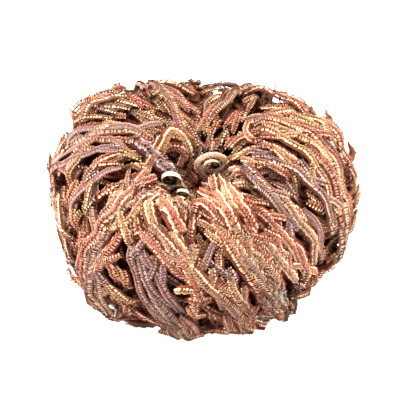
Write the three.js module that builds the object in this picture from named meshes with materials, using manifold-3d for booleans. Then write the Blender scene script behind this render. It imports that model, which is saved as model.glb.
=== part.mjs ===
// A dry rose of Jericho (Selaginella lepidophylla, the resurrection plant) curled up into its ball.
//
// A short root crown stands on a small flat spot. Three rings of forked fronds grow from its side, one inside the
// next. Each frond runs out under the ball, up its side, over the rim and down into the hollow at the top.
// A few loose fronds lie over the outermost ring, the youngest fronds make a tight heart inside, and three
// of their tips stand up in the hollow as open coils.
//
// Millimetres, +Z up. The origin is the middle of the flat spot that the plant rests on.
import * as THREE from 'three';
import { mergeVertices } from 'three/addons/utils/BufferGeometryUtils.js';
import Module from 'manifold-3d';

const manifold = await Module();
manifold.setup();

/* ------------------------------------------------------------------ driving dimensions */

// Half section of the ball, as radius and height, one point for every PROFILE_STEP of length: from the root crown,
// out and up the side, over the rim and down into the hollow.
const PROFILE = [
  [10.5, 4.0], [21.5, 4.6], [31.0, 10.8], [37.2, 20.6], [38.6, 32.0],
  [34.6, 42.8], [25.2, 49.2], [14.4, 48.6], [8.0, 40.0], [6.0, 30.0],
];
const PROFILE_STEP = 11.2;

// The ball isn't round: rays from BODY_CENTRE are longer or shorter by a share, round each of these directions.
const BODY_CENTRE = new THREE.Vector3(0, 0, 26);
const SWELLING_SPREAD = 0.36; // radians
const SWELLINGS = [
  { azimuth: 24, elevation: 19, share: 0.1 },
  { azimuth: 90, elevation: 40, share: -0.075 },
  { azimuth: 127, elevation: 34, share: 0.045 },
  { azimuth: 156, elevation: 19, share: 0.07 },
  { azimuth: 180, elevation: 0, share: -0.11 },
  { azimuth: 204, elevation: -19, share: 0.11 },
  { azimuth: 233, elevation: -34, share: 0.055 },
  { azimuth: 307, elevation: -34, share: -0.02 },
  { azimuth: 336, elevation: -19, share: -0.105 },
];
const FRONT_TO_BACK = 0.93; // depth of the ball against its width
const LEAN = new THREE.Vector2(-0.2, -0.08); // how far the top lies over, for each millimetre of height
const AXIS_FOOT = new THREE.Vector2(3, 1); // where the ball's axis meets the ground, beside the flat spot's middle
const HOLLOW = new THREE.Vector3(0, 0, 45); // the hollow is pulled to one side, most at this point
const HOLLOW_PULL = new THREE.Vector3(0, -3.6, 0);
const HOLLOW_SPREAD = 13;

const SWIRL = THREE.MathUtils.degToRad(-20); // turn of a frond round the axis between its base and its tip
const SWIRL_FROM = 8;
const SWIRL_LENGTH = 80;
const SWAY_LENGTH = 95;
const SWAYS = 3; // bunches of fronds round a ring
const SLOPE_STEP = 0.5; // length on each side of a place over which a slope is taken

// One strand of a frond, which is a stem with its rows of scale leaves.
const STRAND_HEIGHT = 1.4;
const STRAND_CLEARANCE = 0.15; // half of the gap between two fronds of a ring
const WAIST = 0.72; // width between two whorls of scales, as a share of the width at their tips
const SCALE_RISE = 0.8; // share of a whorl's length over which it widens towards its tips
const BARE_STEM = 12; // length of stem without scales at a frond's base
const BARE_STEP = 6;
const FORK = 1.6; // length of the parent's side that a branch grows from
const DEPARTURE = 6.1; // length in which a branch swings out of its parent's lane into its own
const FIRST_RING = 5.2; // where on that length the branch has its first full section
const TUCK = 2; // how far the branch below in the same lane runs past the start of the next one
const TIP_LENGTH = 1.6; // least length of a strand's pointed end
const TIP_SHARE = 0.7; // a strand's width at its tip, as a share of its full width
const TIP_FROM = 0.8; // share of a strand's length after which it narrows towards its own tip
const NARROWS = [60, 80]; // strands narrow between these lengths along the profile, towards the hollow
const NARROWED = 0.78;
const LANE_GAP = 0.25; // between two strands of a frond where they lie closest
const FLATTENING = 0.9; // how far the ridge drops where a strand is narrow
const MAIN_LIFT = 0.15; // the middle strand stands a little higher than its branches, the outermost ones lie lower
const OUTERMOST_LIFT = -0.15;
const BRANCH_SLENDER = 0.94; // width of a branch against the strand that bears it
const OUTERMOST_SLENDER = 0.9;

// Where a frond forks, as lengths along the profile. A branch on the right leaves later than the one on the left.
const LOWER_FORK = 12.5;
const UPPER_FORK = 47;
const RIGHT_LATER = 3.5;
const OUTERMOST_FORK = 10; // past the start of the branch that bears it
const OUTERMOST_REACH = [34, 68];
const OUTERMOST_LEAST = 20;
const UPPER_REACH = 55;
const END_BEFORE_TIP = 4; // a branch ends this much before the frond's own tip
const AZIMUTH_JITTER = 0.12; // of a frond's share of the circle
const JITTER = { lowerFork: 2, upperFork: 6, upperEnd: 2.5, outermostEnd: 4 };
// Seeds of the draws of one frond, three apart, because a draw for one side adds or takes one.
const DRAW = { reach: 1, lowerFork: 4, upperFork: 7, upperEnd: 10, outermostEnd: 13 };

// The rings of fronds, from the outermost. Depth is measured in from the profile to the middle of a strand.
const RINGS = [
  { name: 'outer_frond', count: 14, depth: 1.0, whorl: 5.4, width: 2.6, turn: 0, sway: 0.05, phase: 1.1,
    reach: [86, 97], lanes: 2, laneMax: 4.3, colour: 0xb5805c },
  { name: 'middle_frond', count: 12, depth: 3.3, whorl: 9, width: 2.8, turn: 0.5, sway: 0.04, phase: 3.9,
    reach: [84, 96], lanes: 2, laneMax: 4.3, colour: 0xa9704f },
  { name: 'inner_frond', count: 10, depth: 5.6, whorl: 12, width: 3.4, turn: 0.2, sway: 0.05, phase: 5.2,
    reach: [84, 94], lanes: 1, laneMax: 5.2, colour: 0x8a5a40 },
];

// The loose fronds on the outside: their way over the ball, as pairs of length along the profile and azimuth, and
// where their short branches leave (left is negative).
const LOOSE = { depth: -1.25, whorl: 5.4, width: 2.4, lanes: 1, laneMax: 3.2, colour: 0xa98a80 };
const LOOSE_FRONDS = [
  { way: [[0, 226], [35, 226], [50, 226], [60, 230], [70, 229], [77, 216]], branches: [-22, 30, -38, 46, -56, 62] },
  { way: [[0, 258], [36, 259], [48, 254], [60, 246]], branches: [-20, 26, -36] },
  { way: [[0, 286], [41, 282], [52, 275], [60, 264], [68, 250]], branches: [20, -26, 36, -48, 56] },
  { way: [[0, 304], [42, 298], [58, 292], [73, 284]], branches: [24, -32, 44, 54] },
  { way: [[0, 332], [40, 338], [50, 346], [58, 0], [66, 20], [74, 46]], branches: [22, -32, -46, -58] },
  { way: [[0, 188], [45, 182], [62, 175], [71, 160], [78, 143], [85, 128]], branches: [-24, 34, -44, 54, 66] },
  { way: [[0, 118], [60, 108], [72, 102], [84, 84]], branches: [26, -36, 46, -58] },
  { way: [[0, 62], [60, 66], [70, 66], [80, 72]], branches: [-24, 34, -46] },
];
const LOOSE_BRANCH = { length: [15, 19], slender: 0.85 };

// The heart: the youngest fronds, packed round the growing point, as a pleated head inside the rings.
const HEART_DEPTH = 8.2;
const HEART_SIDES = 34;
const HEART_PLEAT = 1.0;
const HEART_NECK = 8.6; // radius of the underside, over the crown
const FULL_PLEAT_RADIUS = 12; // nearer to the axis the pleats are shallower
const HEART_FROM = 16;
const HEART_TO = 90;
const HEART_RINGS = 8;
const HEART_FLOOR = [[10.5, 31.0], [7.0, 34.0], [3.6, 36.4]]; // the mound in the hollow, to its top
const HEART_TOP = 37.2;

// Fronds stop short round the largest coil.
const POCKET = { azimuth: 40, depth: 10, spread: 0.75 };

// The crown that the fronds grow from, with its mat of roots at the foot, as radius and height.
const CROWN_SECTION = [[11.4, -1.5], [11.8, 0.4], [10.9, 0.8], [9.8, 1.8], [9.7, 11.2], [8.6, 12.9]];
const CROWN_TOP = 13.1;
const CROWN_SIDES = 24;
const CROWN_GAP = 0.35; // between the crown's top and the heart
const CROWN_LOBES = 7;
const CROWN_LOBE = 0.5;
const FOOT_HEIGHTS = [0.5, 1.3]; // below these heights the crown leaves the ball's axis for the flat spot
const GROUND_SIZE = 80;

// The coiled tips in the hollow: middle of the coil, its outer radius, turns (negative ones run the other way), the
// azimuth that it faces, and the strand's width and thickness. The tip comes up from its root to `rootAngle`.
const COILS = [
  { name: 'coiled_tip_1', middle: [5.0, 4.6, 44.0], radius: 4.0, turns: 1.55, faces: -80, pitch: 0.5,
    width: 1.7, thickness: 0.8, rootAngle: 200, root: [3.4, 2.4, 37.3] },
  { name: 'coiled_tip_2', middle: [-5.4, -1.6, 44.8], radius: 2.8, turns: -1.2, faces: -78, pitch: 0.4,
    width: 2.0, thickness: 0.7, rootAngle: -30, root: [-2.4, -0.2, 37.6] },
  { name: 'coiled_tip_3', middle: [-3.0, -4.4, 42.2], radius: 1.9, turns: -0.85, faces: -90, pitch: 0.3,
    width: 1.4, thickness: 0.65, rootAngle: -30, root: [-0.6, -2.2, 37.8] },
];
const COIL_STEP = 30; // degrees of coil between two sections
const COIL_INSIDE = 0.4; // radius at a coil's inner end, as a share of its outer radius
const COIL_TAPER = 0.6; // width there, as a share of the width at the root
const COIL_COLOUR = 0xd8cca0;

/* ------------------------------------------------------------------ numbers */

const TURN = 2 * Math.PI;
const { clamp, degToRad, lerp, smoothstep } = THREE.MathUtils;

// A fixed pseudo-random number from 0 to 1 for a pair of seeds.
function chance(a, b) {
  const v = Math.sin(a * 12.9898 + b * 78.233) * 43758.5453;
  return v - Math.floor(v);
}

function spread(a, b, width) {
  return (chance(a, b) - 0.5) * width;
}

/* ------------------------------------------------------------------ shape of the ball */

// Uniform Catmull-Rom through PROFILE: radius, height and outward normal at a length along the profile.
function profileAt(along) {
  const s = along / PROFILE_STEP;
  const k = clamp(Math.floor(s), 0, PROFILE.length - 2);
  const t = s - k;
  const last = PROFILE.length - 1;
  const at = (i, c) => {
    if (i < 0) return 2 * PROFILE[0][c] - PROFILE[1][c];
    if (i > last) return 2 * PROFILE[last][c] - PROFILE[last - 1][c];
    return PROFILE[i][c];
  };
  const value = [0, 0];
  const slope = [0, 0];
  for (const c of [0, 1]) {
    const [p0, p1, p2, p3] = [at(k - 1, c), at(k, c), at(k + 1, c), at(k + 2, c)];
    const square = 2 * p0 - 5 * p1 + 4 * p2 - p3;
    const cube = -p0 + 3 * p1 - 3 * p2 + p3;
    value[c] = 0.5 * (2 * p1 + (p2 - p0) * t + square * t * t + cube * t ** 3);
    slope[c] = 0.5 * (p2 - p0 + 2 * square * t + 3 * cube * t * t);
  }
  const length = Math.hypot(slope[0], slope[1]);
  return { r: value[0], z: value[1], nr: slope[1] / length, nz: -slope[0] / length };
}

// Radius and height at a depth inside the profile.
function sectionAt(along, depth) {
  const p = profileAt(along);
  return { r: p.r - p.nr * depth, z: p.z - p.nz * depth };
}

const swellingAxes = SWELLINGS.map(({ azimuth, elevation, share }) => {
  const a = degToRad(azimuth);
  const e = degToRad(elevation);
  return { axis: new THREE.Vector3(Math.cos(a) * Math.cos(e), Math.sin(a) * Math.cos(e), Math.sin(e)), share };
});

// Takes a point of the round ball to its place in the swollen, leaning one. It folds nothing over, so pieces that
// are clear of each other in the round ball stay clear.
function settle(x, y, z) {
  const ray = new THREE.Vector3(x, y, z).sub(BODY_CENTRE);
  const direction = ray.clone().normalize();
  let length = 1;
  for (const { axis, share } of swellingAxes) {
    const angle = Math.acos(clamp(direction.dot(axis), -1, 1));
    length += share * Math.exp(-(angle ** 2) / (2 * SWELLING_SPREAD ** 2));
  }
  const p = ray.multiplyScalar(length).add(BODY_CENTRE);
  const nearness = Math.exp(-p.distanceToSquared(HOLLOW) / (2 * HOLLOW_SPREAD ** 2));
  p.addScaledVector(HOLLOW_PULL, nearness);
  p.y *= FRONT_TO_BACK;
  p.x += LEAN.x * p.z + AXIS_FOOT.x;
  p.y += LEAN.y * p.z + AXIS_FOOT.y;
  return p;
}

function settleOnCircle(azimuth, r, z) {
  return settle(r * Math.cos(azimuth), r * Math.sin(azimuth), z);
}

/* ------------------------------------------------------------------ closed meshes */

class Body {
  constructor() {
    this.points = [];
    this.faces = [];
  }

  add(point) {
    this.points.push(point.x, point.y, point.z);
    return this.points.length / 3 - 1;
  }

  triangle(a, b, c) {
    this.faces.push(a, b, c);
  }

  quad(a, b, c, d) {
    this.triangle(a, b, c);
    this.triangle(a, c, d);
  }

  geometry() {
    const made = new THREE.BufferGeometry();
    made.setAttribute('position', new THREE.Float32BufferAttribute(this.points, 3));
    made.setIndex(this.faces);
    return made;
  }
}

/* ------------------------------------------------------------------ fronds */

// A frond's ground plan on the ball: where its middle line runs and how wide it may be on each side.
class Plan {
  constructor({ depth, width, lanes, laneMax }, middle, room) {
    Object.assign(this, { depth, width, lanes, laneMax });
    this.middle = middle; // azimuth of the middle line at a length along the profile
    this.room = room; // half width to the left (-1) or right (1)
  }

  // Place of a point x to the side of the middle line, y along it and `inward` below the strands' middle.
  place(x, y, inward) {
    const { r, z } = sectionAt(y, this.depth + inward);
    const around = sectionAt(y, this.depth).r;
    return settleOnCircle(this.middle(y) + x / around, r, z);
  }

  // How far the middle line runs sideways for each millimetre along the profile.
  slope(y) {
    const swing = this.middle(y + SLOPE_STEP) - this.middle(y - SLOPE_STEP);
    return (sectionAt(y, this.depth).r * swing) / (2 * SLOPE_STEP);
  }

  widthAt(y) {
    return this.width * lerp(1, NARROWED, smoothstep(y, ...NARROWS));
  }

  // Sideways place of a lane: 0 is the middle, 1 and 2 are to the right, -1 and -2 to the left. Lanes share the room.
  lane(lane, y) {
    if (lane === 0) return 0;
    const share = (2 * this.room(y, Math.sign(lane))) / (2 * this.lanes + 1);
    return lane * clamp(share, this.widthAt(y) + LANE_GAP, this.laneMax);
  }

  // Whether a strand fits its lane at y.
  fits(lane, y) {
    return Math.abs(this.lane(lane, y)) + this.widthAt(y) / 2 <= this.room(y, Math.sign(lane));
  }

  // The last place along the profile, up to `to`, where a lane still has room.
  lastFit(lane, from, to) {
    let y = from;
    while (y < to && this.fits(lane, y + 1)) y += 1;
    return y;
  }
}

// One strand: a three-sided stem with a ridge on the outside, which widens and narrows with its whorls of scales.
class Strand {
  constructor(plan, { lane, whorl, from, to, parentLane = 0, lift = 0, slender = 1 }) {
    Object.assign(this, { plan, lane, whorl, from, to, parentLane, lift, slender });
    this.rings = [];
    this.forks = new Map(); // the side where a branch leaves, by the place where it starts
  }

  // Sideways place of the middle of the strand.
  middle(y) {
    const own = this.plan.lane(this.lane, y);
    if (this.lane === this.parentLane) return own;
    return lerp(this.plan.lane(this.parentLane, y), own, smoothstep(y - this.from, 0, DEPARTURE));
  }

  // The places along the strand of its whorls, with the share of the full width there.
  whorls() {
    const isBranch = this.lane !== this.parentLane;
    const found = [];
    let y = isBranch ? this.from + FIRST_RING : this.from;
    while (!isBranch && y < BARE_STEM - 1) {
      found.push({ y, share: 1, end: 1, next: y + BARE_STEP });
      y += BARE_STEP;
    }
    while (y + this.whorl < this.to - TIP_LENGTH) {
      found.push({ y, share: WAIST, end: 1, next: y + this.whorl * SCALE_RISE });
      found.push({ y: y + this.whorl * SCALE_RISE, share: 1 });
      y += this.whorl;
    }
    found.push({ y, share: WAIST });
    return found;
  }

  // Its sections: the whorls, with one more at the end of every fork.
  sections() {
    return this.whorls().flatMap((whorl) => {
      if (!this.forks.has(whorl.y)) return [whorl];
      const rise = FORK / (whorl.next - whorl.y);
      return [whorl, { y: whorl.y + FORK, share: lerp(whorl.share, whorl.end, rise) }];
    });
  }

  widthAt(y) {
    const along = (y - this.from) / (this.to - this.from);
    return this.plan.widthAt(y) * this.slender * lerp(1, TIP_SHARE, smoothstep(along, TIP_FROM, 1));
  }

  ring(body, { y, share }) {
    const x = this.middle(y);
    const swing = (this.middle(y + SLOPE_STEP) - this.middle(y - SLOPE_STEP)) / (2 * SLOPE_STEP);
    const slant = Math.atan(swing + this.plan.slope(y));
    const half = (this.widthAt(y) * share) / 2;
    const [across, along] = [half * Math.cos(slant), half * Math.sin(slant)];
    const low = STRAND_HEIGHT / 2 - this.lift;
    const high = -STRAND_HEIGHT / 2 - this.lift + (1 - share) * FLATTENING;
    return {
      y,
      left: body.add(this.plan.place(x - across, y + along, low)),
      top: body.add(this.plan.place(x, y, high)),
      right: body.add(this.plan.place(x + across, y - along, low)),
    };
  }

  // Opens the free whorl that starts nearest to y for a branch on that side, and gives its place.
  openFor(side, y) {
    const free = this.whorls().filter((whorl) => whorl.next && !this.forks.has(whorl.y));
    const best = free.reduce((a, b) => (Math.abs(b.y - y) < Math.abs(a.y - y) ? b : a));
    this.forks.set(best.y, side);
    return best.y;
  }

  // Adds the strand's faces to the body. A branch starts from the face that its parent left open.
  build(body, base) {
    this.rings = this.sections().map((section) => this.ring(body, section));
    const [first] = this.rings;
    if (base) this.joinTo(body, base, first);
    else body.triangle(first.top, first.left, first.right);
    for (let i = 0; i + 1 < this.rings.length; i += 1) {
      const [a, b] = [this.rings[i], this.rings[i + 1]];
      const open = this.forks.get(a.y);
      if (open !== -1) body.quad(a.left, a.top, b.top, b.left);
      if (open !== 1) body.quad(a.top, a.right, b.right, b.top);
      body.quad(a.right, a.left, b.left, b.right);
    }
    const last = this.rings[this.rings.length - 1];
    const tip = body.add(this.plan.place(this.middle(this.to), this.to, -this.lift));
    body.triangle(last.left, last.top, tip);
    body.triangle(last.top, last.right, tip);
    body.triangle(last.right, last.left, tip);
  }

  joinTo(body, { a, b, side }, first) {
    if (side > 0) {
      body.quad(a.top, a.right, first.right, first.top);
      body.quad(a.right, b.right, first.left, first.right);
      body.quad(b.right, b.top, first.top, first.left);
      body.triangle(b.top, a.top, first.top);
    } else {
      body.quad(a.left, a.top, first.top, first.left);
      body.triangle(a.top, b.top, first.top);
      body.quad(b.top, b.left, first.right, first.top);
      body.quad(b.left, a.left, first.left, first.right);
    }
  }
}

// A frond is a middle strand with its branches: each grows from a face of the strand that bears it.
class Frond {
  constructor(plan, whorl, from, to) {
    this.plan = plan;
    this.main = new Strand(plan, { lane: 0, whorl, from, to, lift: MAIN_LIFT });
    this.branches = [];
  }

  // Adds a branch one lane further out than the strand that bears it, and returns it.
  branch(bearer, lane, { from, to, lift = 0, slender = BRANCH_SLENDER }) {
    const side = Math.sign(lane);
    const start = bearer.openFor(side, from);
    const strand = new Strand(this.plan, {
      lane, whorl: bearer.whorl, from: start, to, parentLane: bearer.lane, lift, slender,
    });
    this.branches.push({ strand, bearer, side });
    return strand;
  }

  geometry() {
    const body = new Body();
    this.main.build(body, null);
    for (const { strand, bearer, side } of this.branches) {
      const at = bearer.rings.findIndex((ring) => ring.y === strand.from);
      strand.build(body, { a: bearer.rings[at], b: bearer.rings[at + 1], side });
    }
    return body.geometry();
  }
}

/* ------------------------------------------------------------------ rings of fronds */

function swirlAt(along) {
  return SWIRL * clamp((along - SWIRL_FROM) / SWIRL_LENGTH, 0, 1);
}

// Azimuth of the line that starts at `base` on the crown, in one ring.
function swayed(ring, base, along) {
  const sway = Math.sin(SWAYS * base + ring.phase) * Math.sin((Math.PI * along) / SWAY_LENGTH);
  return base + swirlAt(along) + ring.sway * sway;
}

function ringBases(ring, ringNumber) {
  return Array.from({ length: ring.count }, (_, i) =>
    (TURN * (i + ring.turn + spread(i, ringNumber, AZIMUTH_JITTER))) / ring.count);
}

// Fronds stop short of the place where the largest coil stands.
function coilPocket(azimuth) {
  const turnAway = azimuth - degToRad(POCKET.azimuth);
  const away = Math.atan2(Math.sin(turnAway), Math.cos(turnAway));
  return POCKET.depth * Math.exp(-((away / POCKET.spread) ** 2));
}

function ringFrond(ring, ringNumber, bases, i) {
  const count = ring.count;
  const base = bases[i];
  const before = i > 0 ? bases[i - 1] : bases[count - 1] - TURN;
  const after = i + 1 < count ? bases[i + 1] : bases[0] + TURN;
  const edges = { '-1': (before + base) / 2, 1: (base + after) / 2 };
  const middle = (y) => swayed(ring, base, y);
  const room = (y, side) =>
    Math.abs(swayed(ring, edges[side], y) - middle(y)) * sectionAt(y, ring.depth).r - STRAND_CLEARANCE;
  const plan = new Plan(ring, middle, room);
  const seed = 20 * ringNumber + i;
  const reach = lerp(...ring.reach, chance(seed, DRAW.reach)) - coilPocket(middle(ring.reach[0]));
  const frond = new Frond(plan, ring.whorl, 0, reach);
  for (const side of [-1, 1]) {
    const later = side > 0 ? RIGHT_LATER : 0;
    const from = LOWER_FORK + later + spread(seed, DRAW.lowerFork + side, JITTER.lowerFork);
    const to = UPPER_FORK + later + spread(seed, DRAW.upperFork + side, JITTER.upperFork);
    const last = plan.lastFit(side, UPPER_REACH, reach) - JITTER.upperEnd * chance(seed, DRAW.upperEnd + side);
    const upper = frond.branch(frond.main, side, { from: to, to: Math.min(last, reach - END_BEFORE_TIP) });
    const lower = frond.branch(frond.main, side, { from, to: upper.from + TUCK });
    const outermost = plan.lastFit(2 * side, ...OUTERMOST_REACH)
      - JITTER.outermostEnd * chance(seed, DRAW.outermostEnd + side);
    if (ring.lanes > 1 && outermost > from + OUTERMOST_LEAST) {
      frond.branch(lower, 2 * side, {
        from: from + OUTERMOST_FORK, to: outermost, lift: OUTERMOST_LIFT, slender: OUTERMOST_SLENDER,
      });
    }
  }
  return frond;
}

// A smooth line through pairs of place and value, flat beyond the ends.
function alongWay(way, y) {
  const last = way.length - 1;
  if (y <= way[0][0]) return way[0][1];
  if (y >= way[last][0]) return way[last][1];
  const k = way.findIndex((_, i) => y < way[i + 1][0]);
  const [[y0, v0], [y1, v1]] = [way[k], way[k + 1]];
  const slopeAt = (i) => {
    const [a, b] = [way[Math.max(i - 1, 0)], way[Math.min(i + 1, last)]];
    return (b[1] - a[1]) / (b[0] - a[0]);
  };
  const span = y1 - y0;
  const t = (y - y0) / span;
  const rise = v1 - v0;
  const [m0, m1] = [slopeAt(k) * span, slopeAt(k + 1) * span];
  return v0 + m0 * t + (3 * rise - 2 * m0 - m1) * t * t + (m0 + m1 - 2 * rise) * t ** 3;
}

// The way of a loose frond in radians, with no jump where it passes azimuth 0.
function unwound(way) {
  let before = way[0][1];
  return way.map(([y, azimuth]) => {
    before += ((azimuth - before + 540) % 360) - 180;
    return [y, degToRad(before)];
  });
}

function looseFrond({ way, branches }) {
  const line = unwound(way);
  const end = way[way.length - 1][0];
  const middle = (y) => alongWay(line, y);
  const plan = new Plan(LOOSE, middle, () => 2 * LOOSE.laneMax);
  const frond = new Frond(plan, LOOSE.whorl, 0, end);
  for (const place of branches) {
    const from = Math.abs(place);
    const to = Math.min(from + lerp(...LOOSE_BRANCH.length, chance(from, end)), end - TUCK);
    frond.branch(frond.main, Math.sign(place), { from, to, slender: LOOSE_BRANCH.slender });
  }
  return frond;
}

/* ------------------------------------------------------------------ heart, crown and coils */

// A closed body of revolution taken into the settled ball. Its section is a list of radius, height and twist, and
// `ripple` is added to the radius.
function turned(section, sides, bottom, top, ripple) {
  const body = new Body();
  const rings = section.map(([r, z, twist = 0], k) =>
    Array.from({ length: sides }, (_, i) => {
      const azimuth = (TURN * i) / sides;
      return body.add(settleOnCircle(azimuth + twist, r + ripple(azimuth, i, k), z));
    }));
  const foot = body.add(settle(0, 0, bottom));
  const head = body.add(settle(0, 0, top));
  for (let i = 0; i < sides; i += 1) {
    const j = (i + 1) % sides;
    body.triangle(foot, rings[0][j], rings[0][i]);
    for (let k = 0; k + 1 < rings.length; k += 1) {
      body.quad(rings[k][i], rings[k][j], rings[k + 1][j], rings[k + 1][i]);
    }
    body.triangle(head, rings[rings.length - 1][i], rings[rings.length - 1][j]);
  }
  return body.geometry();
}

function heartGeometry() {
  const bottom = CROWN_TOP + CROWN_GAP;
  const section = [[HEART_NECK, bottom]];
  for (let k = 0; k <= HEART_RINGS; k += 1) {
    const along = lerp(HEART_FROM, HEART_TO, k / HEART_RINGS);
    const { r, z } = sectionAt(along, HEART_DEPTH);
    section.push([r, z, swirlAt(along)]);
  }
  section.push(...HEART_FLOOR.map(([r, z]) => [r, z, SWIRL]));
  const depth = ([r]) => HEART_PLEAT * Math.min(1, r / FULL_PLEAT_RADIUS);
  const pleat = (azimuth, i, k) => (k > 0 ? depth(section[k]) * (i % 2 ? -1 : 1) : 0);
  return turned(section, HEART_SIDES, bottom, HEART_TOP, pleat);
}

function solidOf(geometry) {
  return new manifold.Manifold(new manifold.Mesh({
    numProp: 3,
    vertProperties: new Float32Array(geometry.attributes.position.array),
    triVerts: new Uint32Array(geometry.index.array),
  }));
}

function geometryOf(solid) {
  const mesh = solid.getMesh();
  const made = new THREE.BufferGeometry();
  made.setAttribute('position', new THREE.BufferAttribute(mesh.vertProperties, 3));
  made.setIndex(new THREE.BufferAttribute(mesh.triVerts, 1));
  return made;
}

// The root mat spreads round the middle of the flat spot, and its underside is cut off level with the ground.
function crownGeometry() {
  const isFoot = (k) => CROWN_SECTION[k][1] < FOOT_HEIGHTS[1];
  const lobes = (azimuth, i, k) => (isFoot(k) ? CROWN_LOBE * Math.sin(CROWN_LOBES * azimuth) : 0);
  const [, lowest] = CROWN_SECTION[0];
  const crown = turned(CROWN_SECTION, CROWN_SIDES, lowest, CROWN_TOP, lobes);
  const { position } = crown.attributes;
  for (let i = 0; i < position.count; i += 1) {
    const share = 1 - smoothstep(position.getZ(i), ...FOOT_HEIGHTS);
    position.setX(i, position.getX(i) - AXIS_FOOT.x * share);
    position.setY(i, position.getY(i) - AXIS_FOOT.y * share);
  }
  const ground = new THREE.BoxGeometry(GROUND_SIZE, GROUND_SIZE, GROUND_SIZE);
  ground.translate(0, 0, -GROUND_SIZE / 2);
  return geometryOf(solidOf(crown).subtract(solidOf(welded(ground))));
}

// A geometry whose corners are shared, so that it is one closed surface.
function welded(geometry) {
  geometry.deleteAttribute('normal');
  geometry.deleteAttribute('uv');
  return mergeVertices(geometry);
}

// Middle line of a coil, from its root to its inner end.
function coilLine(coil) {
  const facing = degToRad(coil.faces);
  const side = new THREE.Vector3(-Math.sin(facing), Math.cos(facing), 0);
  const front = new THREE.Vector3(Math.cos(facing), Math.sin(facing), 0);
  const up = new THREE.Vector3(0, 0, 1);
  const middle = new THREE.Vector3(...coil.middle);
  const sweep = 360 * Math.abs(coil.turns);
  const line = [new THREE.Vector3(...coil.root)];
  for (let turned = 0; turned <= sweep; turned += COIL_STEP) {
    const angle = degToRad(coil.rootAngle - Math.sign(coil.turns) * turned);
    const radius = coil.radius * lerp(1, COIL_INSIDE, turned / sweep);
    const point = middle.clone().addScaledVector(side, radius * Math.cos(angle));
    line.push(point.addScaledVector(up, radius * Math.sin(angle)).addScaledVector(front, coil.pitch * turned / 360));
  }
  return { line, front };
}

function coilGeometry(coil) {
  const { line, front } = coilLine(coil);
  const body = new Body();
  const rings = line.map((point, i) => {
    const along = line[Math.min(i + 1, line.length - 1)].clone().sub(line[Math.max(i - 1, 0)]).normalize();
    const out = new THREE.Vector3().crossVectors(along, front).normalize();
    const flat = new THREE.Vector3().crossVectors(out, along).normalize();
    const taper = lerp(1, COIL_TAPER, i / line.length);
    return [[-1, -1], [1, -1], [1, 1], [-1, 1]].map(([u, v]) => {
      const p = point.clone().addScaledVector(flat, (u * coil.width * taper) / 2);
      p.addScaledVector(out, (v * coil.thickness) / 2);
      return body.add(settle(p.x, p.y, p.z));
    });
  });
  const last = rings[rings.length - 1];
  body.quad(rings[0][0], rings[0][3], rings[0][2], rings[0][1]);
  for (let i = 0; i + 1 < rings.length; i += 1) {
    for (let k = 0; k < 4; k += 1) {
      const n = (k + 1) % 4;
      body.quad(rings[i][k], rings[i][n], rings[i + 1][n], rings[i + 1][k]);
    }
  }
  body.quad(last[0], last[1], last[2], last[3]);
  return body.geometry();
}

/* ------------------------------------------------------------------ the plant */

function named(name, geometry, colour, roughness = 0.9) {
  geometry.computeVertexNormals();
  const mesh = new THREE.Mesh(geometry, new THREE.MeshStandardMaterial({ color: colour, roughness, metalness: 0 }));
  mesh.name = name;
  return mesh;
}

const plant = new THREE.Group();
plant.add(named('root_crown', crownGeometry(), 0x5d4333, 0.95));
plant.add(named('heart', heartGeometry(), 0x6e4630));
RINGS.forEach((ring, ringNumber) => {
  const bases = ringBases(ring, ringNumber);
  bases.forEach((_, i) => {
    const name = `${ring.name}_${String(i + 1).padStart(2, '0')}`;
    plant.add(named(name, ringFrond(ring, ringNumber, bases, i).geometry(), ring.colour));
  });
});
LOOSE_FRONDS.forEach((plan, i) => {
  plant.add(named(`loose_frond_${i + 1}`, looseFrond(plan).geometry(), LOOSE.colour));
});
COILS.forEach((coil) => plant.add(named(coil.name, coilGeometry(coil), COIL_COLOUR, 0.7)));

export default plant;
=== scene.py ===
"""Dresses a dry rose of Jericho, curled up into its ball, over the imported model.

Every frond is rebuilt as strands that are clothed with four rows of overlapping scale leaves, laid on the
same half section of the ball as the solids. The crown gets its wiry roots, the heart its young fronds and the
hollow its coiled tips. Lengths are in millimetres until a mesh is made, and +Z is up. A place on the ball is
told by its azimuth, its length along the ball's profile and its depth under it.
"""

from __future__ import annotations

import logging
import math
from dataclasses import dataclass, field
from enum import Enum
from typing import Callable, Iterator, Sequence

import bpy
import numpy as np
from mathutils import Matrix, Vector


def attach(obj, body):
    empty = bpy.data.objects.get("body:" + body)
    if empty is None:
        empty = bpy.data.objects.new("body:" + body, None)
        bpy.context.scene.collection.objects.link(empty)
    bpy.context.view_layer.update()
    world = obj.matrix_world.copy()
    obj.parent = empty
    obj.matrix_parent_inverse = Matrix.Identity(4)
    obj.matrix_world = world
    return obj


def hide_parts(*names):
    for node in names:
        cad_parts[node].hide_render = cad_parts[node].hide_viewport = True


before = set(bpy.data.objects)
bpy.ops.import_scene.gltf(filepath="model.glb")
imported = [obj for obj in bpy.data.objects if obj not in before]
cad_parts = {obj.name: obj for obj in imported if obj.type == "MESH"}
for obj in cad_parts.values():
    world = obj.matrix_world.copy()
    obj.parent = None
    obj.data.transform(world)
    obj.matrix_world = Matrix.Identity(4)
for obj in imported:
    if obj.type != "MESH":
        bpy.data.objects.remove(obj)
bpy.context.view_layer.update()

LOG = logging.getLogger("rose_of_jericho")

Array = np.ndarray
Material = bpy.types.Material
Pair = tuple[float, float]
Triple = tuple[float, float, float]
Colour = Triple  # in linear light
Along = Callable[[Array], Array]  # a value at lengths along the profile

METRES = 0.001  # in a millimetre
TURN = 2 * math.pi
OUTWARD_STEP = 0.2  # a small step away from the ball, which tells the way out


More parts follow.
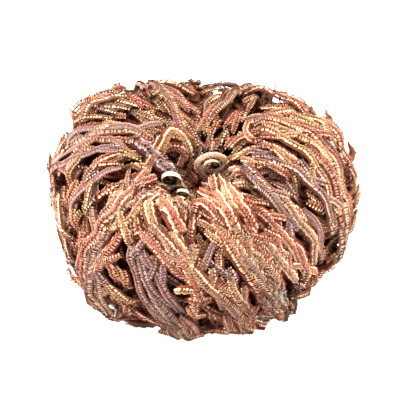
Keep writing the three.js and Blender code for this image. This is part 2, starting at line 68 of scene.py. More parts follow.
class Seeds:
    """Where the seeds of each kind of strand begin."""

    LOOSE_FRONDS = 400
    STEMS = 500
    STEM_STEP = 40
    HEART = 700
    YOUNG = 800
    ROOTS = 900
    ROPE = 1100
    TANGLES = 1200
    FLUFF = 1300
    BRANCHES = 7000  # added to their bearer's


# ---- numbers


def chance(a: float, b: float) -> float:
    """A fixed pseudo-random number from 0 to 1 for a pair of seeds, as in the solids.

    Args:
        a: First seed.
        b: Second seed, which tells apart the draws that one thing needs.

    Returns:
        A number from 0 to 1.
    """
    v = math.sin(a * 12.9898 + b * 78.233) * 43758.5453
    return v - math.floor(v)


def jitter(a: float, b: float, width: float) -> float:
    """A fixed pseudo-random number round 0, over `width`."""
    return (chance(a, b) - 0.5) * width


def lerp(a: float, b: float, share: float | Array) -> float | Array:
    """The value at `share` of the way from a to b."""
    return a + (b - a) * share


def smoothstep(value: float | Array, low: float, high: float) -> Array:
    """Smooth rise from 0 at low to 1 at high."""
    t = np.clip((np.asarray(value, float) - low) / (high - low), 0, 1)
    return t * t * (3 - 2 * t)


def unit(vectors: Array) -> Array:
    """The vectors at length 1."""
    return vectors / np.maximum(np.linalg.norm(vectors, axis=-1, keepdims=True), 1e-12)


def linear(hex_colour: str) -> Colour:
    """A colour written as six hex digits, as linear light."""
    values = [int(hex_colour[i : i + 2], 16) / 255 for i in (0, 2, 4)]
    return tuple(v / 12.92 if v <= 0.04045 else ((v + 0.055) / 1.055) ** 2.4 for v in values)


def nearest_turn(angle: float) -> float:
    """The same angle, between half a turn back and half a turn on."""
    return math.atan2(math.sin(angle), math.cos(angle))


def smooth_line(values: Array, t: Array) -> tuple[Array, Array]:
    """A smooth line through values that stand at 0, 1, 2 and so on.

    Args:
        values: One row for each of them.
        t: Where the line is wanted.

    Returns:
        The line there, and how fast it changes.
    """
    first, last = 2 * values[:1] - values[1:2], 2 * values[-1:] - values[-2:-1]
    padded = np.concatenate([first, values, last])
    k = np.clip(np.floor(t), 0, len(values) - 2).astype(int)
    u = (t - k)[..., None]
    p0, p1, p2, p3 = (padded[k + i] for i in range(4))
    square = 2 * p0 - 5 * p1 + 4 * p2 - p3
    cube = -p0 + 3 * p1 - 3 * p2 + p3
    line = 0.5 * (2 * p1 + (p2 - p0) * u + square * u * u + cube * u**3)
    return line, 0.5 * (p2 - p0 + 2 * square * u + 3 * cube * u * u)


def tube_faces(rings: int, sides: int) -> Array:
    """The triangles between the rings of a tube.

    Args:
        rings: How many rings it has.
        sides: Points in each of them.

    Returns:
        Two triangles for each square between them.
    """
    i = np.arange(rings - 1)[:, None] * sides
    k = np.arange(sides)[None]
    n = (k + 1) % sides
    return np.stack([i + k, i + k + sides, i + n + sides, i + k, i + n + sides, i + n], axis=-1)


# ---- shader recipes


class Shade:
    """One shader value. Arithmetic on it adds Math nodes."""

    def __init__(self, recipe: "Recipe", socket: bpy.types.NodeSocket) -> None:
        """Wraps an output socket of a recipe."""
        self.recipe = recipe
        self.socket = socket

    def _math(self, operation: str, a: "Shade | float", b: "Shade | float") -> "Shade":
        """Adds a Math node on a and b."""
        node = self.recipe.add("ShaderNodeMath", {"operation": operation}, {0: a, 1: b})
        return Shade(self.recipe, node.outputs[0])

    def __add__(self, other: "Shade | float") -> "Shade":
        """self + other."""
        return self._math("ADD", self, other)

    def __sub__(self, other: "Shade | float") -> "Shade":
        """self - other."""
        return self._math("SUBTRACT", self, other)

    def __rsub__(self, other: float) -> "Shade":
        """other - self."""
        return self._math("SUBTRACT", other, self)

    def __mul__(self, other: "Shade | float") -> "Shade":
        """self * other."""
        return self._math("MULTIPLY", self, other)

    def between(self, low: float, high: float) -> "Shade":
        """A smooth rise between two values.

        Args:
            low: Where it is 0.
            high: Where it is 1.

        Returns:
            The risen value.
        """
        sockets = {"Value": self, "From Min": low, "From Max": high}
        node = self.recipe.add("ShaderNodeMapRange", {"interpolation_type": "SMOOTHSTEP"}, sockets)
        return Shade(self.recipe, node.outputs[0])

    def limited(self) -> "Shade":
        """The value kept from 0 to 1."""
        node = self.recipe.add("ShaderNodeClamp", {}, {"Value": self})
        return Shade(self.recipe, node.outputs[0])


class Recipe:
    """A material under construction."""

    MIX_FACTOR, MIX_A, MIX_B, MIX_RESULT = 0, 6, 7, 2  # sockets of a Mix node that is set to colours

    def __init__(self, name: str) -> None:
        """Starts an empty material with one Principled shader.

        Args:
            name: Its name.
        """
        self.material = bpy.data.materials.new(name)
        self.material.use_nodes = True
        self.tree = self.material.node_tree
        self.tree.nodes.clear()
        self.shader = self.add("ShaderNodeBsdfPrincipled")
        self.add("ShaderNodeOutputMaterial", {}, {"Surface": self.shader.outputs[0]})
        self.place = self.add("ShaderNodeTexCoord").outputs["Object"]

    def add(self, kind: str, settings: dict | None = None, sockets: dict | None = None) -> bpy.types.Node:
        """Adds one node.

        Args:
            kind: The node's type.
            settings: Its properties, set first. A ramp's stops are given as "stops".
            sockets: What goes into its inputs: a value, a socket or a Shade, by name or number.

        Returns:
            The node.
        """
        node = self.tree.nodes.new(kind)
        for key, value in (settings or {}).items():
            if key == "stops":
                self._set_stops(node.color_ramp, value)
            else:
                setattr(node, key, value)
        for key, value in (sockets or {}).items():
            self.join(node.inputs[key], value)
        return node

    @staticmethod
    def _set_stops(ramp: bpy.types.ColorRamp, stops: Sequence[tuple[float, Colour]]) -> None:
        """Gives a ramp its stops.

        Args:
            ramp: The ramp.
            stops: Places from 0 to 1 with their colours.
        """
        while len(ramp.elements) < len(stops):
            ramp.elements.new(1.0)
        for element, (place, colour) in zip(ramp.elements, stops):
            element.position = place
            element.color = (*colour, 1)

    def join(self, socket: bpy.types.NodeSocket, value: object) -> None:
        """Sets an input or links it.

        Args:
            socket: The input.
            value: A value, a socket or a Shade.
        """
        if isinstance(value, Shade):
            self.tree.links.new(value.socket, socket)
        elif isinstance(value, bpy.types.NodeSocket):
            self.tree.links.new(value, socket)
        elif isinstance(value, tuple) and socket.type == "RGBA":
            socket.default_value = (*value, 1)
        else:
            socket.default_value = value

    def mark(self, name: str) -> Shade:
        """The value that the mesh carries under that name."""
        return Shade(self, self.add("ShaderNodeAttribute", {"attribute_name": name}).outputs["Fac"])

    def noise(
        self, grain: float, detail: float = 3.0, roughness: float = 0.5, stretch: Triple = (1, 1, 1)
    ) -> Shade:
        """Cloudy noise from 0 to 1.

        Args:
            grain: Size of its patches in millimetres.
            detail: Octaves.
            roughness: Share of the finer octaves.
            stretch: Factors on the coordinates.

        Returns:
            The noise.
        """
        place = self.place
        if stretch != (1, 1, 1):
            place = self.add("ShaderNodeMapping", {}, {"Vector": self.place, "Scale": stretch}).outputs[0]
        sockets = {"Vector": place, "Scale": 1 / (grain * METRES), "Detail": detail, "Roughness": roughness}
        return Shade(self, self.add("ShaderNodeTexNoise", {}, sockets).outputs[0])

    def blend(self, share: Shade | float, a: object, b: object) -> bpy.types.NodeSocket:
        """Mixes two colours.

        Args:
            share: 0 gives a, 1 gives b.
            a: Colour or socket.
            b: Colour or socket.

        Returns:
            The mixed colour's socket.
        """
        sockets = {self.MIX_FACTOR: share, self.MIX_A: a, self.MIX_B: b}
        node = self.add("ShaderNodeMix", {"data_type": "RGBA"}, sockets)
        return node.outputs[self.MIX_RESULT]

    def bump(self, height: Shade, depth: float, strength: float = 1.0) -> None:
        """Roughens the surface.

        Args:
            height: Heights from 0 to 1.
            depth: What that is in millimetres.
            strength: Share of it that shows.
        """
        sockets = {"Height": height, "Distance": depth * METRES, "Strength": strength}
        node = self.add("ShaderNodeBump", {}, sockets)
        self.join(self.shader.inputs["Normal"], node.outputs[0])

    def finish(self, colour: object, roughness: object, **constants: float) -> Material:
        """Sets the shader.

        Args:
            colour: Base colour.
            roughness: Roughness.
            constants: Other inputs by name, with _ for a space.

        Returns:
            The material.
        """
        self.join(self.shader.inputs["Base Color"], colour)
        self.join(self.shader.inputs["Roughness"], roughness)
        for name, value in constants.items():
            self.join(self.shader.inputs[name.replace("_", " ").title().replace("Ior", "IOR")], value)
        return self.material


# ---- finishes


@dataclass(frozen=True)
class FrondFinish:
    """Dry scale leaves: red-brown backs with pale dry margins, worn to a dusty mauve where they are old."""

    name: str
    backs: tuple[tuple[float, Colour], ...] = (
        (0.0, linear("ac6e50")), (0.25, linear("964e3c")), (0.5, linear("b0825a")), (0.8, linear("8c6650")),
        (1.0, linear("765c5a")),
    )  # from strand to strand
    margins: tuple[tuple[float, Colour], ...] = (
        (0.0, linear("e8cbac")), (0.25, linear("e2be9e")), (0.5, linear("ead0a6")), (0.8, linear("d8bc9e")),
        (1.0, linear("c8b4a6")),
    )
    mauve: Colour = linear("6f4d48")
    dust: Colour = linear("c9aca0")
    # colour of the painted shade
    shadow: Colour = linear("561604")
    patch: float = 9.0  # size of the patches of colour
    patch_shift: float = 0.5  # how far they shift the hue and the wear
    speck: float = 0.5
    speck_shift: float = 0.5  # how far the specks fray the margins
    dot: float = 0.32
    dot_range: Pair = (0.5, 0.66)
    dotted: float = 0.35  # how strongly pale dots show on the backs
    margin_from: float = 0.06  # where on a scale its pale margin begins and is full
    margin_full: float = 0.66
    root_edge: float = 0.1  # where on a scale its root ends, and over how much painted shade darkens it
    root_range: float = 0.6
    root_painted_shade: float = 0.75  # how dark the painted shade at the roots of the scales is
    deepest: float = 0.9  # how far painted shade darkens the depth of the ball
    age: float = 0.0  # added to how worn everything is
    worn_margin: float = 0.45  # how much of the margins wear takes away
    worn_back: float = 0.8  # and of the backs' colour
    dusty: float = 0.6  # how dusty the margins and the specks of worn scales are
    dusty_specks: float = 0.3
    relief: float = 0.12
    relief_strength: float = 0.6
    roughness: float = 0.85
    smoother: float = 0.15  # at the margins
    gloss: float = 0.05

    def material(self) -> Material:
        """Builds the finish.

        Returns:
            The material.
        """
        recipe = Recipe(self.name)
        edge, tint = recipe.mark("edge"), recipe.mark("tint")
        wear, deep = recipe.mark("wear"), recipe.mark("deep")
        patches = recipe.noise(self.patch, 2.0)
        specks = recipe.noise(self.speck, 2.0)
        hue = (tint + (patches - 0.5) * self.patch_shift).limited()
        back = recipe.add("ShaderNodeValToRGB", {"stops": self.backs}, {0: hue}).outputs[0]
        margin = recipe.add("ShaderNodeValToRGB", {"stops": self.margins}, {0: hue}).outputs[0]
        dots = recipe.noise(self.dot, 1.0).between(*self.dot_range) * self.dotted
        frayed = edge + (specks - 0.5) * self.speck_shift
        rim = (frayed.between(self.margin_from, self.margin_full) + dots).limited()
        aged = (wear + (patches - 0.5) * self.patch_shift + self.age).limited()
        scale = recipe.blend(rim * (1 - aged * self.worn_margin), back, margin)
        worn = recipe.blend(rim * self.dusty + specks * self.dusty_specks, self.mauve, self.dust)
        colour = recipe.blend(aged * self.worn_back, scale, worn)
        root_shade_mask = (self.root_edge - edge).between(0.0, self.root_range) * self.root_painted_shade
        # painted shade: the depth of the ball and the roots of the scales are darkened towards the shadow
        # colour
        colour = recipe.blend((deep * self.deepest + root_shade_mask).limited(), colour, self.shadow)
        recipe.bump(specks, self.relief, self.relief_strength)
        return recipe.finish(colour, self.roughness - rim * self.smoother, specular_ior_level=self.gloss)


@dataclass(frozen=True)
class WoodFinish:
    """Dry, fibrous wood of the crown and its roots."""

    name: str
    light: Colour = linear("7b5a45")
    dark: Colour = linear("33211a")
    grain: float = 1.4
    stretch: Triple = (1, 1, 0.25)
    fibre_range: Pair = (0.35, 0.65)
    relief: float = 0.4
    roughness: float = 0.9
    smoother: float = 0.15
    gloss: float = 0.25

    def material(self) -> Material:
        """Builds the finish.

        Returns:
            The material.
        """
        recipe = Recipe(self.name)
        fibres = recipe.noise(self.grain, 4.0, 0.6, self.stretch)
        colour = recipe.blend(fibres.between(*self.fibre_range), self.dark, self.light)
        recipe.bump(fibres, self.relief)
        return recipe.finish(colour, self.roughness - fibres * self.smoother, specular_ior_level=self.gloss)


@dataclass(frozen=True)
class CoilFinish:
    """The pale underside of a curled tip, dark greenish brown on the side that faces in, deepened to near
    black as painted shade.
    """

    name: str
    pale: Colour = linear("f0e4c4")
    cream: Colour = linear("b88a66")
    # the side that faces in: its olive, darkened to near black as painted shade
    shaded_olive: Colour = linear("0e0c05")
    speck: float = 0.6
    patch: float = 2.2
    fleck_range: Pair = (0.36, 0.52)
    relief: float = 0.1
    roughness: float = 0.7
    gloss: float = 0.12

    def material(self) -> Material:
        """Builds the finish.

        Returns:
            The material.
        """
        recipe = Recipe(self.name)
        edge, deep = recipe.mark("edge"), recipe.mark("deep")
        specks = recipe.noise(self.speck, 3.0)
        patches = recipe.noise(self.patch, 2.0)
        flecks = (specks * 0.4 + patches * 0.6).between(*self.fleck_range)
        pale = recipe.blend(flecks, self.cream, self.pale)
        colour = recipe.blend((deep - edge * 0.5).limited(), pale, self.shaded_olive)
        recipe.bump(specks, self.relief, 0.5)
        return recipe.finish(colour, self.roughness - specks * 0.1, specular_ior_level=self.gloss)


@dataclass(frozen=True)
class FloorFinish:
    """A plain pale studio floor."""

    name: str = "pale_floor"
    colour: Colour = (0.9, 0.9, 0.9)
    glow_colour: Colour = (1.0, 1.0, 1.0)
    glow: float = 0.5
    roughness: float = 0.9
    gloss: float = 0.1

    def material(self) -> Material:
        """Builds the finish.

        Returns:
            The material.
        """
        recipe = Recipe(self.name)
        recipe.join(recipe.shader.inputs["Emission Color"], self.glow_colour)
        return recipe.finish(
            self.colour, self.roughness, specular_ior_level=self.gloss, emission_strength=self.glow
        )


# ---- shape of the ball


@dataclass(frozen=True)
class Ball:
    """The shape that every frond lies on: a half section, swollen, leaned and pulled as the solids are."""

    profile: tuple[Pair, ...] = (
        (10.5, 4.0), (21.5, 4.6), (31.0, 10.8), (37.2, 20.6), (38.6, 32.0),
        (34.6, 42.8), (25.2, 49.2), (14.4, 48.6), (8.0, 40.0), (6.0, 30.0),
    )  # radius and height, one point for every `step` of length
    step: float = 11.2
    centre: Triple = (0, 0, 26)
    swelling_spread: float = 0.36
    swellings: tuple[Triple, ...] = (
        (24, 19, 0.1), (90, 40, -0.075), (127, 34, 0.045), (156, 19, 0.07), (180, 0, -0.11),
        (204, -19, 0.11), (233, -34, 0.055), (307, -34, -0.02), (336, -19, -0.105),
    )  # azimuth, elevation and share
    front_to_back: float = 0.93
    lean: Pair = (-0.2, -0.08)
    axis_foot: Pair = (3, 1)
    hollow: Triple = (0, 0, 45)
    hollow_pull: Triple = (0, -3.6, 0)
    hollow_spread: float = 13
    swirl: float = math.radians(-20)
    swirl_from: float = 8
    swirl_length: float = 80
    sway_length: float = 95
    sways: int = 3

    def section(self, along: Array, depth: float | Array = 0.0) -> tuple[Array, Array]:
        """Radius and height of places inside the half section.

        Args:
            along: Lengths along the profile.
            depth: How far in from the profile they lie.

        Returns:
            Radii and heights.
        """
        place, change = smooth_line(np.array(self.profile), np.asarray(along, float) / self.step)
        slope = unit(change)
        return place[..., 0] - slope[..., 1] * depth, place[..., 1] + slope[..., 0] * depth

    def settle(self, points: Array) -> Array:
        """Takes points of the round ball to their places in the real one.

        Args:
            points: The points.

        Returns:
            Their places.
        """
        ray = points - np.array(self.centre, float)
        direction = unit(ray)
        length = np.ones(len(points))
        for azimuth, elevation, share in self.swellings:
            a, e = math.radians(azimuth), math.radians(elevation)
            axis = np.array([math.cos(a) * math.cos(e), math.sin(a) * math.cos(e), math.sin(e)])
            angle = np.arccos(np.clip(direction @ axis, -1, 1))
            length += share * np.exp(-(angle**2) / (2 * self.swelling_spread**2))
        p = ray * length[:, None] + np.array(self.centre, float)
        away = ((p - np.array(self.hollow, float)) ** 2).sum(axis=1)
        p = p + np.exp(-away / (2 * self.hollow_spread**2))[:, None] * np.array(self.hollow_pull)
        p[:, 1] *= self.front_to_back
        for k in (0, 1):
            p[:, k] += self.lean[k] * p[:, 2] + self.axis_foot[k]
        return p

    def on_circle(self, azimuth: Array, radius: Array, height: Array) -> Array:
        """Settled places, given round the ball's axis."""
        return self.settle(np.stack([radius * np.cos(azimuth), radius * np.sin(azimuth), height], axis=-1))

    def place(self, azimuth: Array, along: Array, depth: Array) -> Array:
        """Settled places on the ball, by azimuth, length along the profile and depth."""
        radius, height = self.section(along, depth)
        return self.on_circle(azimuth, radius, height)

    def swirl_at(self, along: float | Array) -> Array:
        """Turn of a frond round the axis at a length along the profile."""
        return self.swirl * np.clip((np.asarray(along, float) - self.swirl_from) / self.swirl_length, 0, 1)


BALL = Ball()


@dataclass(frozen=True)
class Sight:
    """The camera, and what it sees of the ball at each place of its view."""

    target: Triple = (-2, 1, 24)
    elevation: float = math.radians(50)
    distance: float = 430
    lens: float = 143.3
    sensor: float = 36
    view: int = 416  # pixels across
    azimuth_step: float = math.radians(1.5)
    length_end: float = 98
    length_step: float = 0.75
    surface: float = -0.9  # depth of the surface that is looked at
    near_enough: float = 2.5  # pixels

    def back(self) -> Array:
        """The direction from the target to the camera."""
        return np.array([0, -math.cos(self.elevation), math.sin(self.elevation)])

    def finder(self) -> "Find":
        """What turns a place of the view into a place on the ball.

        Returns:
            A function of the pixels across and down, which gives a point and the way out from it.
        """
        azimuths = np.arange(0, TURN, self.azimuth_step)
        lengths = np.arange(0, self.length_end, self.length_step)
        azimuth, along = (grid.ravel() for grid in np.meshgrid(azimuths, lengths, indexing="ij"))
        depth = np.full(azimuth.shape, self.surface)
        points = BALL.place(azimuth, along, depth)
        outward = unit(BALL.place(azimuth, along, depth - OUTWARD_STEP) - points)
        offset = points - np.array(self.target, float)
        up = np.array([0, math.sin(self.elevation), math.cos(self.elevation)])
        away = self.distance - offset @ self.back()
        focal = self.view * self.lens / self.sensor
        across = self.view / 2 + focal * offset[:, 0] / away
        down = self.view / 2 - focal * (offset @ up) / away

        def find(x: float, y: float) -> tuple[Array, Array]:
            """The place nearest to the camera among those that lie there.

            Args:
                x: Pixels across.
                y: Pixels down.

            Returns:
                The point, and the way out from it.
            """
            miss = np.hypot(across - x, down - y)
            near = miss < max(self.near_enough, float(miss.min()) + 0.5)
            best = int(np.argmin(np.where(near, away, np.inf)))
            return points[best], outward[best]

        return find


Find = Callable[[float, float], tuple[Array, Array]]
SIGHT = Sight()


# ---- lines, scales and meshes


@dataclass
class Line:
    """A smooth line in space with a frame at each point: along it, to its side and out."""

    points: Array
    along: Array
    side: Array
    out: Array
    length: Array = field(init=False)

    def __post_init__(self) -> None:
        """Measures the length at each point."""
        steps = np.linalg.norm(np.diff(self.points, axis=0), axis=1)
        self.length = np.concatenate([[0], np.cumsum(steps)])

    @classmethod
    def through(cls, points: Array, outward: Array, roll: Array | float = 0.0) -> "Line":
        """A line through points.

        Args:
            points: Its points.
            outward: A vector at each point, roughly away from the ball.
            roll: Turn of the frame round the line, in radians.

        Returns:
            The line.
        """
        along = unit(np.gradient(points, axis=0))
        out = unit(outward - (outward * along).sum(axis=1, keepdims=True) * along)
        side = np.cross(along, out)
        turn = np.broadcast_to(np.asarray(roll, float), (len(points),))[:, None]
        cos, sin = np.cos(turn), np.sin(turn)
        return cls(points, along, side * cos + out * sin, out * cos - side * sin)

    @classmethod
    def on_ball(cls, azimuth: Array, along: Array, depth: Array, roll: Array | float = 0.0) -> "Line":
        """A line over the ball.

        Args:
            azimuth: Azimuths of its points.
            along: Their lengths along the profile.
            depth: Their depths.
            roll: Turn of the frame round the line, in radians.

        Returns:
            The line.
        """
        points = BALL.place(azimuth, along, depth)
        higher = BALL.place(azimuth, along, depth - OUTWARD_STEP)
        return cls.through(points, higher - points, roll)

    def frames(self, lengths: Array) -> tuple[Array, Array, Array, Array]:
        """Points and frames at lengths along the line.

        Args:
            lengths: The lengths.

        Returns:
            The points there, and the directions along, to the side and out.
        """
        found = [
            np.stack([np.interp(lengths, self.length, value[:, axis]) for axis in range(3)], axis=-1)
            for value in (self.points, self.along, self.side, self.out)
        ]
        return found[0], unit(found[1]), unit(found[2]), unit(found[3])


@dataclass(frozen=True)
class Leaf:
    """One scale leaf, for a strand of half width 1."""

    points: tuple[tuple[float, float, float, float], ...]  # along, aside, out and the mark of the edge, which paints shade at the root below 0
    faces: tuple[tuple[int, int, int], ...]


# edge marks under 0 paint shade where a scale's root lies under the one before and on the strand's flanks
SIDE_LEAF = Leaf(
    (
        (-0.20, 0.22, 0.44, -0.4), (0.34, 0.28, 0.66, 0.1), (0.24, 0.55, 0.56, -0.1),
        (-0.02, 0.76, 0.02, -0.2), (0.80, 0.56, 0.66, 0.5), (0.62, 0.80, 0.50, 0.3),
        (0.36, 0.98, -0.04, 0.7), (0.92, 1.08, 0.14, 1.15),
    ),
    ((0, 1, 2), (0, 2, 3), (1, 4, 5), (1, 5, 2), (2, 5, 6), (2, 6, 3), (4, 7, 5), (5, 7, 6)),
)
PLAIN_SIDE_LEAF = Leaf(
    (
        (-0.15, 0.25, 0.26, -0.6), (0.60, 0.36, 0.62, 0.0), (0.40, 0.66, 0.54, -0.1),
        (0.10, 0.94, 0.02, 0.7), (1.04, 0.84, 0.44, 0.5), (0.84, 1.16, 0.16, 1.2),
    ),
    ((0, 1, 2), (0, 2, 3), (1, 4, 2), (2, 4, 5), (2, 5, 3)),
)
BACK_LEAF = Leaf(
    (
        (-0.15, 0.05, 0.56, -0.7), (0.40, -0.12, 0.84, -0.05), (0.40, 0.18, 0.92, -0.1),
        (0.30, 0.50, 0.68, -0.1), (1.00, 0.20, 1.02, 0.3),
    ),
    ((0, 1, 2), (0, 2, 3), (1, 4, 2), (2, 4, 3)),
)


class Weave:
    """Collects the vertices, faces and marks of one piece."""

    # deep is how far a vertex's colour is darkened as painted shade
    MARKS = ("edge", "tint", "wear", "deep")
    UNDERSIDE = -0.2  # sine of the angle where the underside of a tube begins, which takes its own share of the painted shade
    total = 0  # triangles in all pieces

    def __init__(self) -> None:
        """Starts with nothing."""
        self.points: list[Array] = []
        self.faces: list[Array] = []
        self.smooth: list[Array] = []
        self.marks: dict[str, list[Array]] = {name: [] for name in self.MARKS}
        self.count = 0

    def add(self, points: Array, faces: Array, smooth: bool, **marks: Array | float) -> None:
        """Adds a patch of mesh.

        Args:
            points: Its vertices in millimetres.
            faces: Its triangles.
            smooth: Whether it is shaded smooth.
            marks: Values that its vertices carry.
        """
        self.points.append(points.reshape(-1, 3))
        self.faces.append(faces.reshape(-1, 3) + self.count)
        self.smooth.append(np.full(len(self.faces[-1]), smooth))
        added = len(self.points[-1])
        for name in self.MARKS:
            value = np.asarray(marks.get(name, 0.0), float).reshape(-1)
            self.marks[name].append(np.broadcast_to(value, (added,)))
        self.count += added

    def piece(
        self, name: str, nodes: Sequence[str], material: Material
    ) -> bpy.types.Object:
        """Makes the object.

        Args:
            name: Its name.
            nodes: The solids that it stands for.
            material: Its finish.

        Returns:
            The object, which rides with the plant.
        """
        points = np.concatenate(self.points) * METRES
        faces = np.concatenate(self.faces)
        mesh = bpy.data.meshes.new(name)
        mesh.vertices.add(len(points))
        mesh.vertices.foreach_set("co", points.ravel())
        mesh.loops.add(faces.size)
        mesh.loops.foreach_set("vertex_index", faces.astype(np.int32).ravel())
        mesh.polygons.add(len(faces))
        mesh.polygons.foreach_set("loop_start", np.arange(0, faces.size, 3, dtype=np.int32))
        mesh.polygons.foreach_set("use_smooth", np.concatenate(self.smooth))
        mesh.update(calc_edges=True)
        for key, values in self.marks.items():
            layer = mesh.attributes.new(key, "FLOAT", "POINT")
            layer.data.foreach_set("value", np.concatenate(values).astype(np.float32))
        mesh.materials.append(material)
        made = bpy.data.objects.new(name, mesh)
        bpy.context.scene.collection.objects.link(made)
        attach(made, "root")
        if nodes:
            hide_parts(*nodes)
        Weave.total += len(faces)
        LOG.info("%s: %d triangles", name, len(faces))
        return made

    def tube(
        self, line: Line, half_width: Array, half_height: Array, sides: int, step: float,
        deep_below: float = 1.0, **marks: Array,
    ) -> None:
        """Adds a flattened tube with pointed ends.

        Args:
            line: Its middle.
            half_width: Half widths at each of the line's points.
            half_height: Half heights there.
            sides: Faces round it.
            step: Length between two sections.
            deep_below: Share of its painted shade that its underside has.
            marks: Values at each of the line's points.
        """
        total = line.length[-1]
        lengths = np.linspace(0, total, max(2, int(total / step) + 1))
        centre, _, side, out = line.frames(lengths)
        wide = np.interp(lengths, line.length, half_width)
        high = np.interp(lengths, line.length, half_height)
        angle = TURN * np.arange(sides) / sides
        ring = (
            centre[:, None]
            + side[:, None] * (wide[:, None] * np.cos(angle))[..., None]
            + out[:, None] * (high[:, None] * np.sin(angle))[..., None]
        )
        carried = {
            name: np.repeat(np.interp(lengths, line.length, np.broadcast_to(value, line.length.shape)), sides)
            for name, value in marks.items()
        }
        # the underside of a tube takes only its share of the painted shade
        if "deep" in carried:
            share = np.where(np.sin(angle) < self.UNDERSIDE, deep_below, 1.0)
            carried["deep"] = carried["deep"] * np.tile(share, len(lengths))
        self.add(ring, tube_faces(len(lengths), sides), True, **carried)


class Detail(Enum):
    """How finely a strand is clothed."""

    FINE = 1
    PLAIN = 2


@dataclass(frozen=True)
class Cloth:
    """How a strand is clothed with scale leaves."""

    detail: Detail = Detail.FINE
    pitch: float = 0.72
    scale_length: float = 0.84  # of the half width
    core_sides: int = 6
    core_step: float = 1.4
    core_width: float = 1.6  # of the half width, wide enough that its painted shade shows as a dark outline beside the scales
    core_height: float = 0.26
    core_sunk: float = 0.24  # how far it lies under the strand's middle
    core_painted_shade: float = 0.95  # how dark the core is made as painted shade, which shows between and beside the scales
    core_painted_shade_below: float = 0.35  # share of that on its underside
    core_edge: Pair = (0.12, 0.22)  # mark of the edge where it is clothed and where it is bare
    point: float = 0.8  # length over which it comes to its end
    blunt: float = 0.1  # width of that end
    bare_width: float = 0.9  # the same where the scales are worn off
    bare_height: float = 0.6
    bare_scale: float = 0.55  # size of the scales that are left there
    bare_lift: float = 0.9
    bare_turn: float = 0.2
    last_scale: float = 0.3  # how far the last scale stands from the end
    turn_spread: float = 0.24
    size_spread: float = 0.36
    place_spread: float = 0.35  # of the pitch
    lift_spread: float = 0.2

    def clothe(
        self, weave: Weave, line: Line, half: Array, wear: Array, deep: Array, tint: float, seed: int
    ) -> None:
        """Adds one strand.

        Args:
            weave: The piece that it belongs to.
            line: The strand's middle.
            half: Half widths at the line's points.
            wear: How bare it is there, from 0 to 1.
            deep: How far painted shade darkens it there, from 0 to 1.
            tint: Its shade, from 0 to 1.
            seed: Seed of its irregularities.
        """
        draw = np.random.default_rng(seed)
        bare = wear**2
        wide = half * lerp(self.core_width, self.bare_width, bare)
        high = half * lerp(self.core_height, self.bare_height, bare)
        end = lerp(self.blunt, 1, np.minimum(1, (line.length[-1] - line.length) / self.point))
        # the core is darkened as painted shade, except where the scales are worn off
        shaded = np.maximum(deep, lerp(self.core_painted_shade, 0, bare))
        sunk = half * self.core_sunk * (1 - bare)
        core = Line(line.points - line.out * sunk[:, None], line.along, line.side, line.out)
        weave.tube(
            core, wide * end, high * end, self.core_sides, self.core_step, self.core_painted_shade_below,
            wear=wear, deep=shaded, tint=tint, edge=lerp(*self.core_edge, wear),
        )
        side_leaf = SIDE_LEAF if self.detail is Detail.FINE else PLAIN_SIDE_LEAF
        for leaf, shift, mirror in (
            (side_leaf, 0.0, 1), (side_leaf, 0.5, -1), (BACK_LEAF, 0.25, 1), (BACK_LEAF, 0.75, -1)
        ):
            last = max(line.length[-1] - self.last_scale, 0.1)
            stations = np.arange(shift * self.pitch, last, self.pitch)
            self._row(weave, line, leaf, stations, mirror, half, wear, deep, tint, draw)

    def _row(
        self, weave: Weave, line: Line, leaf: Leaf, stations: Array, mirror: int,
        half: Array, wear: Array, deep: Array, tint: float, draw: np.random.Generator,
    ) -> None:
        """Adds one row of scales along a strand.

        Args:
            weave: The piece that it belongs to.
            line: The strand's middle.
            leaf: The form of its scales.
            stations: Lengths along the line where they stand.
            mirror: 1 for the right-hand side and -1 for the left.
            half: Half widths at the line's points.
            wear: How bare it is there.
            deep: How far painted shade darkens it there.
            tint: The strand's shade.
            draw: Where its irregularities come from.
        """
        count = len(stations)
        stations = stations + draw.uniform(-0.5, 0.5, count) * self.place_spread * self.pitch
        centre, along, side, out = line.frames(stations)
        worn = np.interp(stations, line.length, wear)
        bare = worn**2
        uneven = 1 + draw.uniform(-0.5, 0.5, count) * self.size_spread
        size = np.interp(stations, line.length, half) * uneven
        reach = size * lerp(1.0, self.bare_scale, bare)
        turn = draw.uniform(-0.5, 0.5, count) * self.turn_spread - bare * self.bare_turn
        a, s, n, edge = (np.array(leaf.points)[:, c][None] for c in range(4))
        a = a * self.scale_length
        cos, sin = np.cos(turn)[:, None], np.sin(turn)[:, None]
        spread_along = (a * cos - s * sin) * reach[:, None]
        spread_aside = (a * sin + s * cos) * lerp(size, reach, 0.5)[:, None] * mirror
        lift = 1 + draw.uniform(-0.5, 0.5, count) * self.lift_spread
        height = n * (size * lift * lerp(1.0, self.bare_lift, bare))[:, None]
        points = (
            centre[:, None]
            + along[:, None] * spread_along[..., None]
            + side[:, None] * spread_aside[..., None]
            + out[:, None] * height[..., None]
        )
        faces = np.array(leaf.faces)
        if mirror > 0:
            faces = faces[:, ::-1]
        corners = len(leaf.points)
        triangles = faces[None] + (np.arange(count) * corners)[:, None, None]
        # painted shade at each scale
        depth = np.interp(stations, line.length, deep)
        weave.add(
            points, triangles, False,
            edge=np.broadcast_to(edge, (count, corners)), tint=tint,
            wear=np.repeat(worn, corners), deep=np.repeat(depth, corners),
        )


# ---- fronds


@dataclass(frozen=True)
class Lanes:
    """The rules that lay a frond's strands side by side, as in the solids."""

    bare_stem: float = 12
    bare_step: float = 6
    departure: float = 6.1
    first_ring: float = 5.2
    tuck: float = 2
    tip_length: float = 1.6
    narrows: Pair = (60, 80)
    narrowed: float = 0.78
    gap: float = 0.25
    clearance: float = 0.15


LANES = Lanes()
WAVE_RATIO = 0.61  # length of the shorter of two waves, and how much each of them counts
WAVE_SHARES = (0.65, 0.35)


